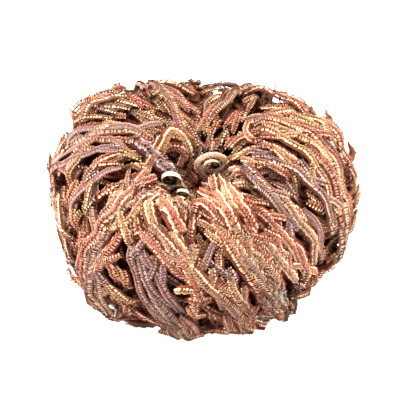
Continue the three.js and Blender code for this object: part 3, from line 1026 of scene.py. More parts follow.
@dataclass
class Plan:
    """A frond's ground plan: where its middle line runs and how wide it may be on each side."""

    depth: float
    width: float
    lanes: int
    lane_max: float
    middle: Along
    room: Callable[[Array, int], Array]

    def width_at(self, y: float | Array) -> Array:
        """Width of its strands at a length along the profile."""
        return self.width * lerp(1, LANES.narrowed, smoothstep(y, *LANES.narrows))

    def lane(self, lane: int, y: float | Array) -> Array:
        """Sideways place of a lane.

        Args:
            lane: Its number: 0 is the middle, positive ones are to the right.
            y: Lengths along the profile.

        Returns:
            Its places there.
        """
        y = np.asarray(y, float)
        if lane == 0:
            return np.zeros(y.shape)
        share = 2 * self.room(y, int(np.sign(lane))) / (2 * self.lanes + 1)
        return lane * np.clip(share, self.width_at(y) + LANES.gap, self.lane_max)

    def last_fit(self, lane: int, start: float, end: float) -> float:
        """The last place along the profile where a lane still has room.

        Args:
            lane: The lane.
            start: Where it begins.
            end: The furthest place that is tried.

        Returns:
            The place.
        """
        y = start
        while y < end:
            after = y + 1
            needed = abs(float(self.lane(lane, after))) + float(self.width_at(after)) / 2
            if needed > float(self.room(np.asarray(after, float), int(np.sign(lane)))):
                break
            y = after
        return y


@dataclass
class Strand:
    """One strand of a frond's plan."""

    plan: Plan
    lane: int
    whorl: float
    start: float
    end: float
    parent_lane: int = 0
    slender: float = 1.0
    forks: list[float] = field(default_factory=list)

    def middle(self, y: Array) -> Array:
        """Sideways place of the middle of the strand.

        Args:
            y: Lengths along the profile.

        Returns:
            Its places there.
        """
        own = self.plan.lane(self.lane, y)
        if self.lane == self.parent_lane:
            return own
        from_lane = self.plan.lane(self.parent_lane, y)
        return lerp(from_lane, own, smoothstep(np.asarray(y, float) - self.start, 0, LANES.departure))

    def free_whorls(self) -> list[float]:
        """Places where a branch may still leave.

        Returns:
            Their lengths along the profile.
        """
        is_branch = self.lane != self.parent_lane
        found: list[float] = []
        y = self.start + LANES.first_ring if is_branch else self.start
        while not is_branch and y < LANES.bare_stem - 1:
            found.append(y)
            y += LANES.bare_step
        while y + self.whorl < self.end - LANES.tip_length:
            found.append(y)
            y += self.whorl
        return [place for place in found if place not in self.forks]

    def open_for(self, y: float) -> float:
        """Takes a free place for a branch.

        Args:
            y: Where it is wanted.

        Returns:
            The nearest free place.
        """
        best = min(self.free_whorls(), key=lambda place: abs(place - y))
        self.forks.append(best)
        return best


@dataclass(frozen=True)
class Branchlets:
    """The short side branches of a strand."""

    gap: Pair = (3.0, 5.2)
    length: Pair = (3.2, 5.6)
    reach: Pair = (3.0, 5.0)
    rise: Pair = (-0.6, 0.9)
    width: float = 0.85
    blunt: float = 0.72  # width of the tip
    share: float = 0.75  # of the places that bear one
    start: float = 22.0  # along the profile
    from_foot: float = 3.0  # how far from their bearer's ends they stand
    from_tip: float = 3.5
    wear: float = 0.7  # of their bearer's
    swing: float = 0.85  # under 1 they leave at a steep angle and bend back


@dataclass(frozen=True)
class Tufts:
    """Side sprays that come up between the strands of a frond and end in free tips."""

    count: int = 42
    over: Pair = (10, 92)  # along the profile
    length: Pair = (6, 13)
    drift: float = 0.65  # sideways for each millimetre
    foot_spread: float = 0.3  # how much more they spread at the foot
    foot_until: Pair = (38, 60)
    shorter_below: float = 0.3  # how much shorter they are there
    shorter_above: float = 0.4  # and in the hollow
    above: Pair = (62, 80)
    lean: float = -0.3  # the same for all of them
    right_lean: float = 1.3  # and for those on the right of the ball
    right_azimuth: float = math.radians(5)
    right_spread: float = math.radians(38)
    sunk: float = 3.4
    layers: tuple[float, ...] = (-0.4, 0.8, 0.0, 1.4)  # depths where they lie, one after the other
    scatter: float = 0.5  # of those depths
    tucked: float = 1.3  # how much deeper they lie at the foot of the ball
    tucked_until: Pair = (20, 36)
    width: Pair = (1.4, 2.0)
    tip_rise: Pair = (-0.3, 1.0)
    tip_length: float = 5.0
    up_after: float = 0.4  # share of their length over which they come up
    straight: float = 0.5  # how much less they drift in the hollow
    straight_from: Pair = (55, 80)
    wave: Pair = (0.25, 19.0)  # sideways: size and length
    heave: Pair = (0.3, 13.0)  # up and down
    roll: Pair = (0.2, 23.0)
    roll_spread: float = 1.0
    foot_width: float = 0.8
    tip_width: float = 0.68
    tints: Triple = (0.15, 0.95, 1.5)
    branchlets: Branchlets = Branchlets(
        gap=(3.4, 5.4), length=(4.0, 6.4), reach=(3.0, 4.8), rise=(-1.3, 0.4), share=0.65, start=0
    )


@dataclass(frozen=True)
class Habit:
    """How the real strands depart from the plan: waves, tilt, free tips, tufts and short side branches."""

    sunk: float = 1.8  # how far its strands lie under the plan's depth
    tilt: float = 0.9  # rise of one side of a frond over its neighbour
    tilt_range: Pair = (0.5, 1.4)  # share of it, from frond to frond
    widen: float = 1.1
    wave: float = 0.6  # sideways
    wave_length: float = 21.0
    own_wave: float = 0.5  # each strand's own, as a share
    own_from: float = 9.0  # length after which a branch has waves of its own
    heave: float = 0.45  # up and down
    heave_length: float = 12.0
    own_heave: float = 0.85
    heave_from: Pair = (6, 22)
    foot_rise: float = 0.5  # how much higher they lie at the foot of the ball
    foot_until: Pair = (34, 56)
    roll: float = 0.35
    roll_length: float = 31.0
    roll_from: Pair = (8, 24)
    tip_rise: float = 2.0
    tip_range: Pair = (-0.3, 1.0)  # share of it, from strand to strand
    tip_length: float = 7.0
    tip_width: float = 0.5
    tints: Triple = (0.2, 0.85, 1.4)  # shares of the frond's shade and of the strand's own, and its skew
    branchlets: Branchlets = Branchlets()
    tufts: Tufts = Tufts()


@dataclass(frozen=True)
class Course:
    """The way of one strand over the ball, by length along the profile."""

    start: float
    end: float
    aside: Along
    depth: Along
    half: Along
    roll: Along
    tint: float
    seed: int


@dataclass
class Spray:
    """Dresses the strands of one frond."""

    plan: Plan
    strands: list[Strand]
    habit: Habit
    cloth: Cloth
    seed: int
    tint: float
    wear: Along

    STEP = 0.6
    LEAST_RADIUS = 4.0  # of the ball, for turning a sideways place into an azimuth
    SHADE_FROM = 0.8  # depth where the painted shade of the ball's depth begins, and over how much it grows full
    SHADE_DEPTH = 3.0
    STRAND_SHADE = 0.35  # the most that a single strand is darker than its neighbours

    def dress(self, weave: Weave) -> None:
        """Adds every strand with its side branches.

        Args:
            weave: The piece that they belong to.
        """
        for number, strand in enumerate(self.strands):
            course = self._strand(strand, number)
            self._clothe(weave, course)
            self._branchlets(weave, course, self.habit.branchlets)
        for number in range(self.habit.tufts.count):
            course = self._tuft(number)
            self._clothe(weave, course)
            self._branchlets(weave, course, self.habit.tufts.branchlets)

    @staticmethod
    def _wave(y: Array, length: float, seed: float, key: float) -> Array:
        """Two waves of unlike length.

        Args:
            y: Lengths along the profile.
            length: Length of the longer wave.
            seed: Seed of their phases.
            key: What tells them apart from others with that seed.

        Returns:
            Values from -1 to 1.
        """
        first = np.sin(TURN * (y / length + chance(seed, key)))
        second = np.sin(TURN * (y / (length * WAVE_RATIO) + chance(seed, key + 1)))
        return WAVE_SHARES[0] * first + WAVE_SHARES[1] * second

    def _tint(self, tints: Triple, seed: int) -> float:
        """The shade of a strand: its frond's and its own, each by its share, and the own one skewed."""
        return float(np.clip(tints[0] * self.tint + tints[1] * chance(seed, 6.6) ** tints[2], 0, 1))

    def _strand(self, strand: Strand, number: int) -> Course:
        """The course of one strand of the plan.

        Args:
            strand: The strand.
            number: Its number in the frond, 0 for the stem.

        Returns:
            The course.
        """
        habit = self.habit
        seed = self.seed * 17 + number
        tilt = habit.tilt * lerp(*habit.tilt_range, chance(self.seed, 8.8))
        free = lerp(*habit.tip_range, chance(seed, 9.1)) * habit.tip_rise

        def fade(y: Array) -> Array:
            """A branch takes on waves of its own after it has left its bearer."""
            return smoothstep(y - strand.start, 0, habit.own_from) if number else np.ones(y.shape)

        def aside(y: Array) -> Array:
            """Sideways place.

            Args:
                y: Lengths along the profile.

            Returns:
                Places there.
            """
            shared = habit.wave * self._wave(y, habit.wave_length, self.seed, 3.1)
            own = habit.own_wave * habit.wave * self._wave(y, habit.wave_length * 0.7, seed, 31.7)
            return strand.middle(y) * habit.widen + shared + own * fade(y)

        def depth(y: Array) -> Array:
            """Depth, with the foot raised and the tip free.

            Args:
                y: Lengths along the profile.

            Returns:
                Depths there.
            """
            rise = tilt * strand.middle(y) / (self.plan.lane_max * max(self.plan.lanes, 1))
            rise = rise + habit.heave * self._wave(y, habit.heave_length, self.seed, 5.3)
            rise = rise + habit.own_heave * self._wave(y, habit.heave_length * 1.3, seed, 11.9) * fade(y)
            rise = rise * smoothstep(y, *habit.heave_from)
            rise = rise + habit.foot_rise * (1 - smoothstep(y, *habit.foot_until))
            tip = free * smoothstep(y, strand.end - habit.tip_length, strand.end + 1)
            return self.plan.depth + habit.sunk - rise - tip

        def half(y: Array) -> Array:
            """Half width, less at the tip."""
            tip = smoothstep((y - strand.start) / (strand.end - strand.start), 0.8, 1)
            return 0.5 * self.plan.width_at(y) * strand.slender * lerp(1, habit.tip_width, tip)

        def roll(y: Array) -> Array:
            """Turn round the strand."""
            turn = jitter(seed, 2.2, 1.2) + 0.5 * self._wave(y, habit.roll_length, seed, 14.0)
            return habit.roll * turn * smoothstep(y, *habit.roll_from)

        tint = self._tint(habit.tints, seed)
        return Course(strand.start, strand.end, aside, depth, half, roll, tint, seed)

    def _tuft(self, number: int) -> Course:
        """The course of one side spray that comes up between the strands.

        Args:
            number: Its number in the frond, counted from the foot.

        Returns:
            The course.
        """
        tufts = self.habit.tufts
        seed = self.seed * 31 + number
        place = (number + chance(seed, 1.7)) / tufts.count
        start = lerp(*tufts.over, place)
        at_foot = 1 - smoothstep(start, *tufts.foot_until)
        shorter = 1 - tufts.shorter_above * smoothstep(start, *tufts.above) - tufts.shorter_below * at_foot
        length = lerp(*tufts.length, chance(seed, 2.6)) * shorter
        end = start + length
        side = 1 if chance(seed, 3.5) > 0.5 else -1
        room = float(self.plan.room(np.array(start + 0.5 * length), side))
        away = float(self.plan.middle(np.array(start))) - tufts.right_azimuth
        away = nearest_turn(away) / tufts.right_spread
        lean = tufts.lean + tufts.right_lean * math.exp(-(away**2))
        spread = 2 * tufts.drift * (1 + tufts.foot_spread * at_foot)
        straighter = 1 - tufts.straight * smoothstep(start, *tufts.straight_from)
        drift = (lean + jitter(seed, 4.4, spread)) * straighter
        begin = side * room * chance(seed, 5.3) - 0.5 * drift * length
        top = tufts.layers[number % len(tufts.layers)] + jitter(seed, 6.2, tufts.scatter)
        tip = lerp(*tufts.tip_rise, chance(seed, 7.1))
        width = lerp(*tufts.width, chance(seed, 8.9))

        def aside(y: Array) -> Array:
            """Sideways place."""
            return begin + drift * (y - start) + tufts.wave[0] * self._wave(y, tufts.wave[1], seed, 15.0)

        def depth(y: Array) -> Array:
            """Depth: up from between the strands, along the surface, and free at the tip.

            Args:
                y: Lengths along the profile.

            Returns:
                Depths there.
            """
            surface = lerp(tufts.sunk, top, smoothstep(y, start, start + tufts.up_after * length))
            surface = surface + tufts.tucked * (1 - smoothstep(y, *tufts.tucked_until))
            heave = tufts.heave[0] * self._wave(y, tufts.heave[1], seed, 17.0)
            return surface + heave - tip * smoothstep(y, end - tufts.tip_length, end + 1)

        def half(y: Array) -> Array:
            """Half width.

            Args:
                y: Lengths along the profile.

            Returns:
                Half widths there.
            """
            share = (y - start) / length
            narrow = lerp(1, LANES.narrowed, smoothstep(y, *LANES.narrows))
            at_foot = lerp(tufts.foot_width, 1, smoothstep(share, 0, 0.3))
            return 0.5 * width * narrow * at_foot * lerp(1, tufts.tip_width, smoothstep(share, 0.75, 1))

        def roll(y: Array) -> Array:
            """Turn round the strand."""
            wave = tufts.roll[0] * self._wave(y, tufts.roll[1], seed, 19.0)
            return jitter(seed, 9.8, tufts.roll_spread) + wave

        return Course(start, end, aside, depth, half, roll, self._tint(tufts.tints, seed), seed)

    def _clothe(self, weave: Weave, course: Course, wear_share: float = 1.0) -> None:
        """Adds the strand that follows a course.

        Args:
            weave: The piece that it belongs to.
            course: The course.
            wear_share: Share of the frond's wear that it has.
        """
        y = np.arange(course.start, course.end + 0.5 * self.STEP, self.STEP)
        depth = course.depth(y)
        radius, _ = BALL.section(y, self.plan.depth)
        azimuth = self.plan.middle(y) + course.aside(y) / np.maximum(radius, self.LEAST_RADIUS)
        line = Line.on_ball(azimuth, y, depth, course.roll(y))
        # painted shade: darker the deeper the strand lies, plus a random tone of its own
        own_shade = self.STRAND_SHADE * chance(course.seed, 13.7) ** 2
        deep = np.clip((depth - self.SHADE_FROM) / self.SHADE_DEPTH + own_shade, 0, 1)
        wear = self.wear(y) * wear_share
        self.cloth.clothe(weave, line, course.half(y), wear, deep, course.tint, course.seed)

    def _branchlets(self, weave: Weave, course: Course, branchlets: Branchlets) -> None:
        """Adds the short side branches of one course.

        Args:
            weave: The piece that they belong to.
            course: The course of their bearer.
            branchlets: What they are like.
        """
        y = max(course.start + branchlets.from_foot, branchlets.start)
        side = 1 if chance(course.seed, 4.4) > 0.5 else -1
        number = 0
        while y < course.end - branchlets.from_tip:
            number += 1
            side = -side
            key = course.seed * 1.7 + number
            if chance(key, 1.3) < branchlets.share:
                self._clothe(weave, self._branchlet(course, branchlets, y, side, key), branchlets.wear)
            y += lerp(*branchlets.gap, chance(key, 2.9))

    def _branchlet(
        self, bearer: Course, branchlets: Branchlets, start: float, side: int, key: float
    ) -> Course:
        """The course of one short side branch.

        Args:
            bearer: The course of its bearer.
            branchlets: What it is like.
            start: Length along the profile where it leaves.
            side: 1 for the right-hand side and -1 for the left.
            key: Seed of its irregularities.

        Returns:
            The course.
        """
        length = lerp(*branchlets.length, chance(key, 5.1))
        reach = side * lerp(*branchlets.reach, chance(key, 6.2)) * length / branchlets.length[1]
        rise = lerp(*branchlets.rise, chance(key, 7.7))
        free = jitter(key, 3.3, 1.0)
        turn = jitter(key, 8.1, 0.9)
        root_width = float(bearer.half(np.array([start]))[0])

        def swing(y: Array) -> Array:
            """Share of the way out from the bearer."""
            return np.clip((y - start) / length, 0, 1) ** branchlets.swing

        def aside(y: Array) -> Array:
            """Sideways place."""
            return bearer.aside(y) + reach * swing(y)

        def depth(y: Array) -> Array:
            """Depth."""
            tip = free * smoothstep(y, start + 0.5 * length, start + length)
            return bearer.depth(y) - rise * swing(y) - tip

        def half(y: Array) -> Array:
            """Half width, less at the tip."""
            tip = smoothstep((y - start) / length, 0.6, 1)
            return branchlets.width * root_width * lerp(1, branchlets.blunt, tip)

        def roll(y: Array) -> Array:
            """Turn round the strand."""
            return bearer.roll(y) + turn * swing(y)

        tint = float(np.clip(bearer.tint + jitter(key, 9.4, 0.35), 0, 1))
        return Course(start, start + length, aside, depth, half, roll, tint, int(abs(key) * 10) % 1000003)


@dataclass(frozen=True)
class Ring:
    """One ring of fronds."""

    name: str
    number: int
    count: int
    depth: float
    whorl: float
    width: float
    turn: float
    sway: float
    phase: float
    reach: Pair
    lanes: int
    lane_max: float
    strand_width: float
    habit: Habit
    cloth: Cloth
    finish: FrondFinish
    azimuth_jitter: float = 0.12

    def bases(self) -> list[float]:
        """Azimuths at which its fronds leave the crown."""
        draws = [jitter(i, self.number, self.azimuth_jitter) for i in range(self.count)]
        return [TURN * (i + self.turn + draw) / self.count for i, draw in enumerate(draws)]

    def swayed(self, base: float, y: Array) -> Array:
        """Azimuth of the line that starts at `base` on the crown."""
        bow = np.sin(math.pi * np.asarray(y, float) / BALL.sway_length)
        return base + BALL.swirl_at(y) + self.sway * (math.sin(BALL.sways * base + self.phase) * bow)


@dataclass(frozen=True)
class RingFronds:
    """Builds the fronds of a ring, forked where the solids fork."""

    lower_fork: float = 12.5
    upper_fork: float = 47
    right_later: float = 3.5
    outermost_fork: float = 10
    outermost_reach: Pair = (34, 68)
    outermost_least: float = 20
    upper_reach: float = 55
    end_before_tip: float = 4
    branch_slender: float = 0.92
    outermost_slender: float = 0.86
    pocket_azimuth: float = math.radians(40)
    pocket_depth: float = 10
    pocket_spread: float = 0.75
    bare_until: Pair = (8, 26)
    dustiest: float = 0.45
    dusty_until: Pair = (20, 62)

    def pocket(self, azimuth: float) -> float:
        """How far a frond stops short of the largest coil."""
        away = nearest_turn(azimuth - self.pocket_azimuth) / self.pocket_spread
        return self.pocket_depth * math.exp(-(away**2))

    def strands(self, ring: Ring, plan: Plan, i: int) -> list[Strand]:
        """The strands of one frond, as the solids have them.

        Args:
            ring: The frond's ring.
            plan: Its ground plan.
            i: Its number in the ring.

        Returns:
            The strands, its stem first.
        """
        seed = 20 * ring.number + i
        reach = lerp(*ring.reach, chance(seed, 1)) - self.pocket(float(plan.middle(ring.reach[0])))
        main = Strand(plan, 0, ring.whorl, 0, reach)
        found = [main]
        for side in (-1, 1):
            later = self.right_later if side > 0 else 0
            lower_at = self.lower_fork + later + jitter(seed, 4 + side, 2)
            upper_at = self.upper_fork + later + jitter(seed, 7 + side, 6)
            last = plan.last_fit(side, self.upper_reach, reach) - 2.5 * chance(seed, 10 + side)
            upper_start = main.open_for(upper_at)
            upper_end = min(last, reach - self.end_before_tip)
            upper = Strand(plan, side, ring.whorl, upper_start, upper_end, 0, self.branch_slender)
            lower_start = main.open_for(lower_at)
            lower_end = upper.start + LANES.tuck
            lower = Strand(plan, side, ring.whorl, lower_start, lower_end, 0, self.branch_slender)
            found += [upper, lower]
            outermost = plan.last_fit(2 * side, *self.outermost_reach) - 4 * chance(seed, 13 + side)
            if ring.lanes > 1 and outermost > lower_at + self.outermost_least:
                start = lower.open_for(lower_at + self.outermost_fork)
                slender = self.outermost_slender
                found.append(Strand(plan, 2 * side, ring.whorl, start, outermost, side, slender))
        return found

    def build(self, ring: Ring, material: Material) -> None:
        """Builds every frond of a ring.

        Args:
            ring: The ring.
            material: Its finish.
        """
        bases = ring.bases()
        for i, base in enumerate(bases):
            before = bases[i - 1] if i > 0 else bases[-1] - TURN
            after = bases[i + 1] if i + 1 < ring.count else bases[0] + TURN
            edges = {-1: (before + base) / 2, 1: (base + after) / 2}

            def middle(y: Array, base: float = base) -> Array:
                """Azimuth of the frond's middle line."""
                return ring.swayed(base, y)

            def room(y: Array, side: int, base: float = base, edges: dict[int, float] = edges) -> Array:
                """Half width that the frond may take on one side."""
                radius, _ = BALL.section(y, ring.depth)
                return np.abs(ring.swayed(edges[side], y) - ring.swayed(base, y)) * radius - LANES.clearance

            plan = Plan(ring.depth, ring.width, ring.lanes, ring.lane_max, middle, room)
            strands = self.strands(ring, plan, i)
            plan.width = ring.strand_width
            seed = 100 * (ring.number + 1) + i
            tint = chance(seed, 12.3)
            wear = self._wear(seed)
            weave = Weave()
            Spray(plan, strands, ring.habit, ring.cloth, seed, tint, wear).dress(weave)
            name = f"{ring.name}_{i + 1:02d}"
            weave.piece(f"scaly_{name}", [name], material)

    def _wear(self, seed: int) -> Along:
        """How worn a frond is along its length: bare at the crown, dusty here and there further out.

        Args:
            seed: The frond's seed.

        Returns:
            A function of the length along the profile.
        """
        dusty = self.dustiest * chance(seed, 20.2)

        def wear(y: Array) -> Array:
            """Wear at lengths along the profile."""
            bare = 1 - smoothstep(y, *self.bare_until)
            return np.clip(np.maximum(bare, dusty * (1 - smoothstep(y, *self.dusty_until))), 0, 1)

        return wear


@dataclass(frozen=True)
class LooseFrond:
    """A loose frond on the outside of the ball."""

    way: tuple[Pair, ...]  # lengths along the profile and azimuths in degrees
    branches: tuple[float, ...]  # lengths where one leaves, negative to the left
    wear: float = 0.6  # of its older half
    clothed: Pair = (45, 70)  # its wear falls to the least between these lengths
    least_wear: float = 0.05
    tint: float = 0.4
    branchlet_share: float = 0.6


@dataclass(frozen=True)
class LooseFronds:
    """The older fronds that lie over the outermost ring, with worn stems."""

    depth: float = -1.25
    whorl: float = 5.4
    width: float = 2.4
    strand_width: float = 2.2
    lanes: int = 1
    lane_max: float = 3.2
    branch_length: Pair = (15, 19)
    branch_slender: float = 0.85
    cloth: Cloth = Cloth(core_sides=8)
    fronds: tuple[LooseFrond, ...] = (
        LooseFrond(
            ((0, 226), (35, 226), (50, 226), (60, 230), (70, 229), (77, 216)),
            (-22, 30, -38, 46, -56, 62), 0.4,
        ),
        LooseFrond(((0, 258), (36, 259), (48, 254), (60, 246)), (-20, 26, -36), 0.5),
        LooseFrond(
            ((0, 286), (41, 282), (52, 275), (60, 264), (68, 250)), (20, -26, 36, -48, 56), 0.3, tint=0.1
        ),
        LooseFrond(((0, 304), (42, 298), (58, 292), (73, 284)), (24, -32, 44, 54), 0.35, tint=0.2),
        LooseFrond(
            ((0, 332), (40, 338), (50, 346), (58, 0), (66, 20), (74, 46)),
            (22, -32, -46, -58), 0.3, tint=0.0,
        ),
        LooseFrond(
            ((0, 188), (45, 182), (62, 175), (71, 160), (78, 143), (85, 128)),
            (-24, 34, -44, 54, 66), 1.0, (60, 80),
        ),
        LooseFrond(((0, 118), (60, 108), (72, 102), (84, 84)), (26, -36, 46, -58), 0.8, (60, 80)),
        LooseFrond(((0, 62), (60, 66), (70, 66), (80, 72)), (-24, 34, -46), 0.8, (60, 80)),
    )

    @staticmethod
    def _unwound(way: Sequence[Pair]) -> list[Pair]:
        """The way in radians, with no jump where it passes azimuth 0.

        Args:
            way: Lengths and azimuths in degrees.

        Returns:
            Lengths and azimuths in radians.
        """
        before = way[0][1]
        found = []
        for y, azimuth in way:
            before += (azimuth - before + 540) % 360 - 180
            found.append((y, math.radians(before)))
        return found

    @staticmethod
    def _along_way(way: Sequence[Pair], y: Array) -> Array:
        """A smooth line through pairs of place and value, flat beyond the ends.

        Args:
            way: The pairs.
            y: Where the line is wanted.

        Returns:
            Its values there.
        """
        places, values = (np.array(column) for column in zip(*way))
        last = len(places) - 1
        before, after = np.maximum(np.arange(last + 1) - 1, 0), np.minimum(np.arange(last + 1) + 1, last)
        slopes = (values[after] - values[before]) / (places[after] - places[before])
        y = np.clip(np.asarray(y, float), places[0], places[-1])
        k = np.clip(np.searchsorted(places, y, side="right") - 1, 0, last - 1)
        span = places[k + 1] - places[k]
        t = (y - places[k]) / span
        rise = values[k + 1] - values[k]
        m0, m1 = slopes[k] * span, slopes[k + 1] * span
        return values[k] + m0 * t + (3 * rise - 2 * m0 - m1) * t * t + (m0 + m1 - 2 * rise) * t**3

    def strands(self, loose: LooseFrond, plan: Plan) -> list[Strand]:
        """The strands of one loose frond, as the solids have them.

        Args:
            loose: The frond.
            plan: Its ground plan.

        Returns:
            The strands, its stem first.
        """
        end = loose.way[-1][0]
        main = Strand(plan, 0, self.whorl, 0, end)
        found = [main]
        for place in loose.branches:
            start = abs(place)
            to = min(start + lerp(*self.branch_length, chance(start, end)), end - LANES.tuck)
            lane = int(np.sign(place))
            found.append(Strand(plan, lane, self.whorl, main.open_for(start), to, 0, self.branch_slender))
        return found

    def build(self, material: Material) -> None:
        """Builds every loose frond.

        Args:
            material: Their finish.
        """
        for i, loose in enumerate(self.fronds):
            way = self._unwound(loose.way)

            def middle(y: Array, way: Sequence[Pair] = way) -> Array:
                """Azimuth of the frond's middle line."""
                return self._along_way(way, y)

            def room(y: Array, side: int) -> Array:
                """A loose frond has room on both sides."""
                return np.full(np.shape(y), 2 * self.lane_max)

            def wear(y: Array, loose: LooseFrond = loose) -> Array:
                """How worn the frond is along its length."""
                return np.maximum(loose.least_wear, loose.wear * (1 - smoothstep(y, *loose.clothed)))

            plan = Plan(self.depth, self.width, self.lanes, self.lane_max, middle, room)
            branchlets = Branchlets(share=loose.branchlet_share, start=30, rise=(-1.4, 0.2))
            habit = Habit(
                sunk=1.0, tilt=0.0, widen=1.0, wave=0.35, heave=0.3, own_heave=0.35, tip_rise=0.8,
                branchlets=branchlets, tufts=Tufts(count=0),
            )
            weave = Weave()
            strands = self.strands(loose, plan)
            plan.width = self.strand_width
            seed = Seeds.LOOSE_FRONDS + i
            Spray(plan, strands, habit, self.cloth, seed, loose.tint, wear).dress(weave)
            name = f"loose_frond_{i + 1}"
            weave.piece(f"scaly_{name}", [name], material)


# ---- single stems, rootlets and fluff


@dataclass(frozen=True)
class Stem:
    """One stem that can be told apart, given by the places of the camera's view that it passes."""

    name: str
    spots: tuple[Pair, ...]  # pixels across and down
    width: float
    wear: float
    tint: float
    branches: float = 0.0  # share of the places that bear a side branch
    lift: float = -0.1  # how far it lies above the surface of the ball
    sunk_foot: float = 1.8  # how far its foot and its tip dip back
    sunk_tip: float = 0.4


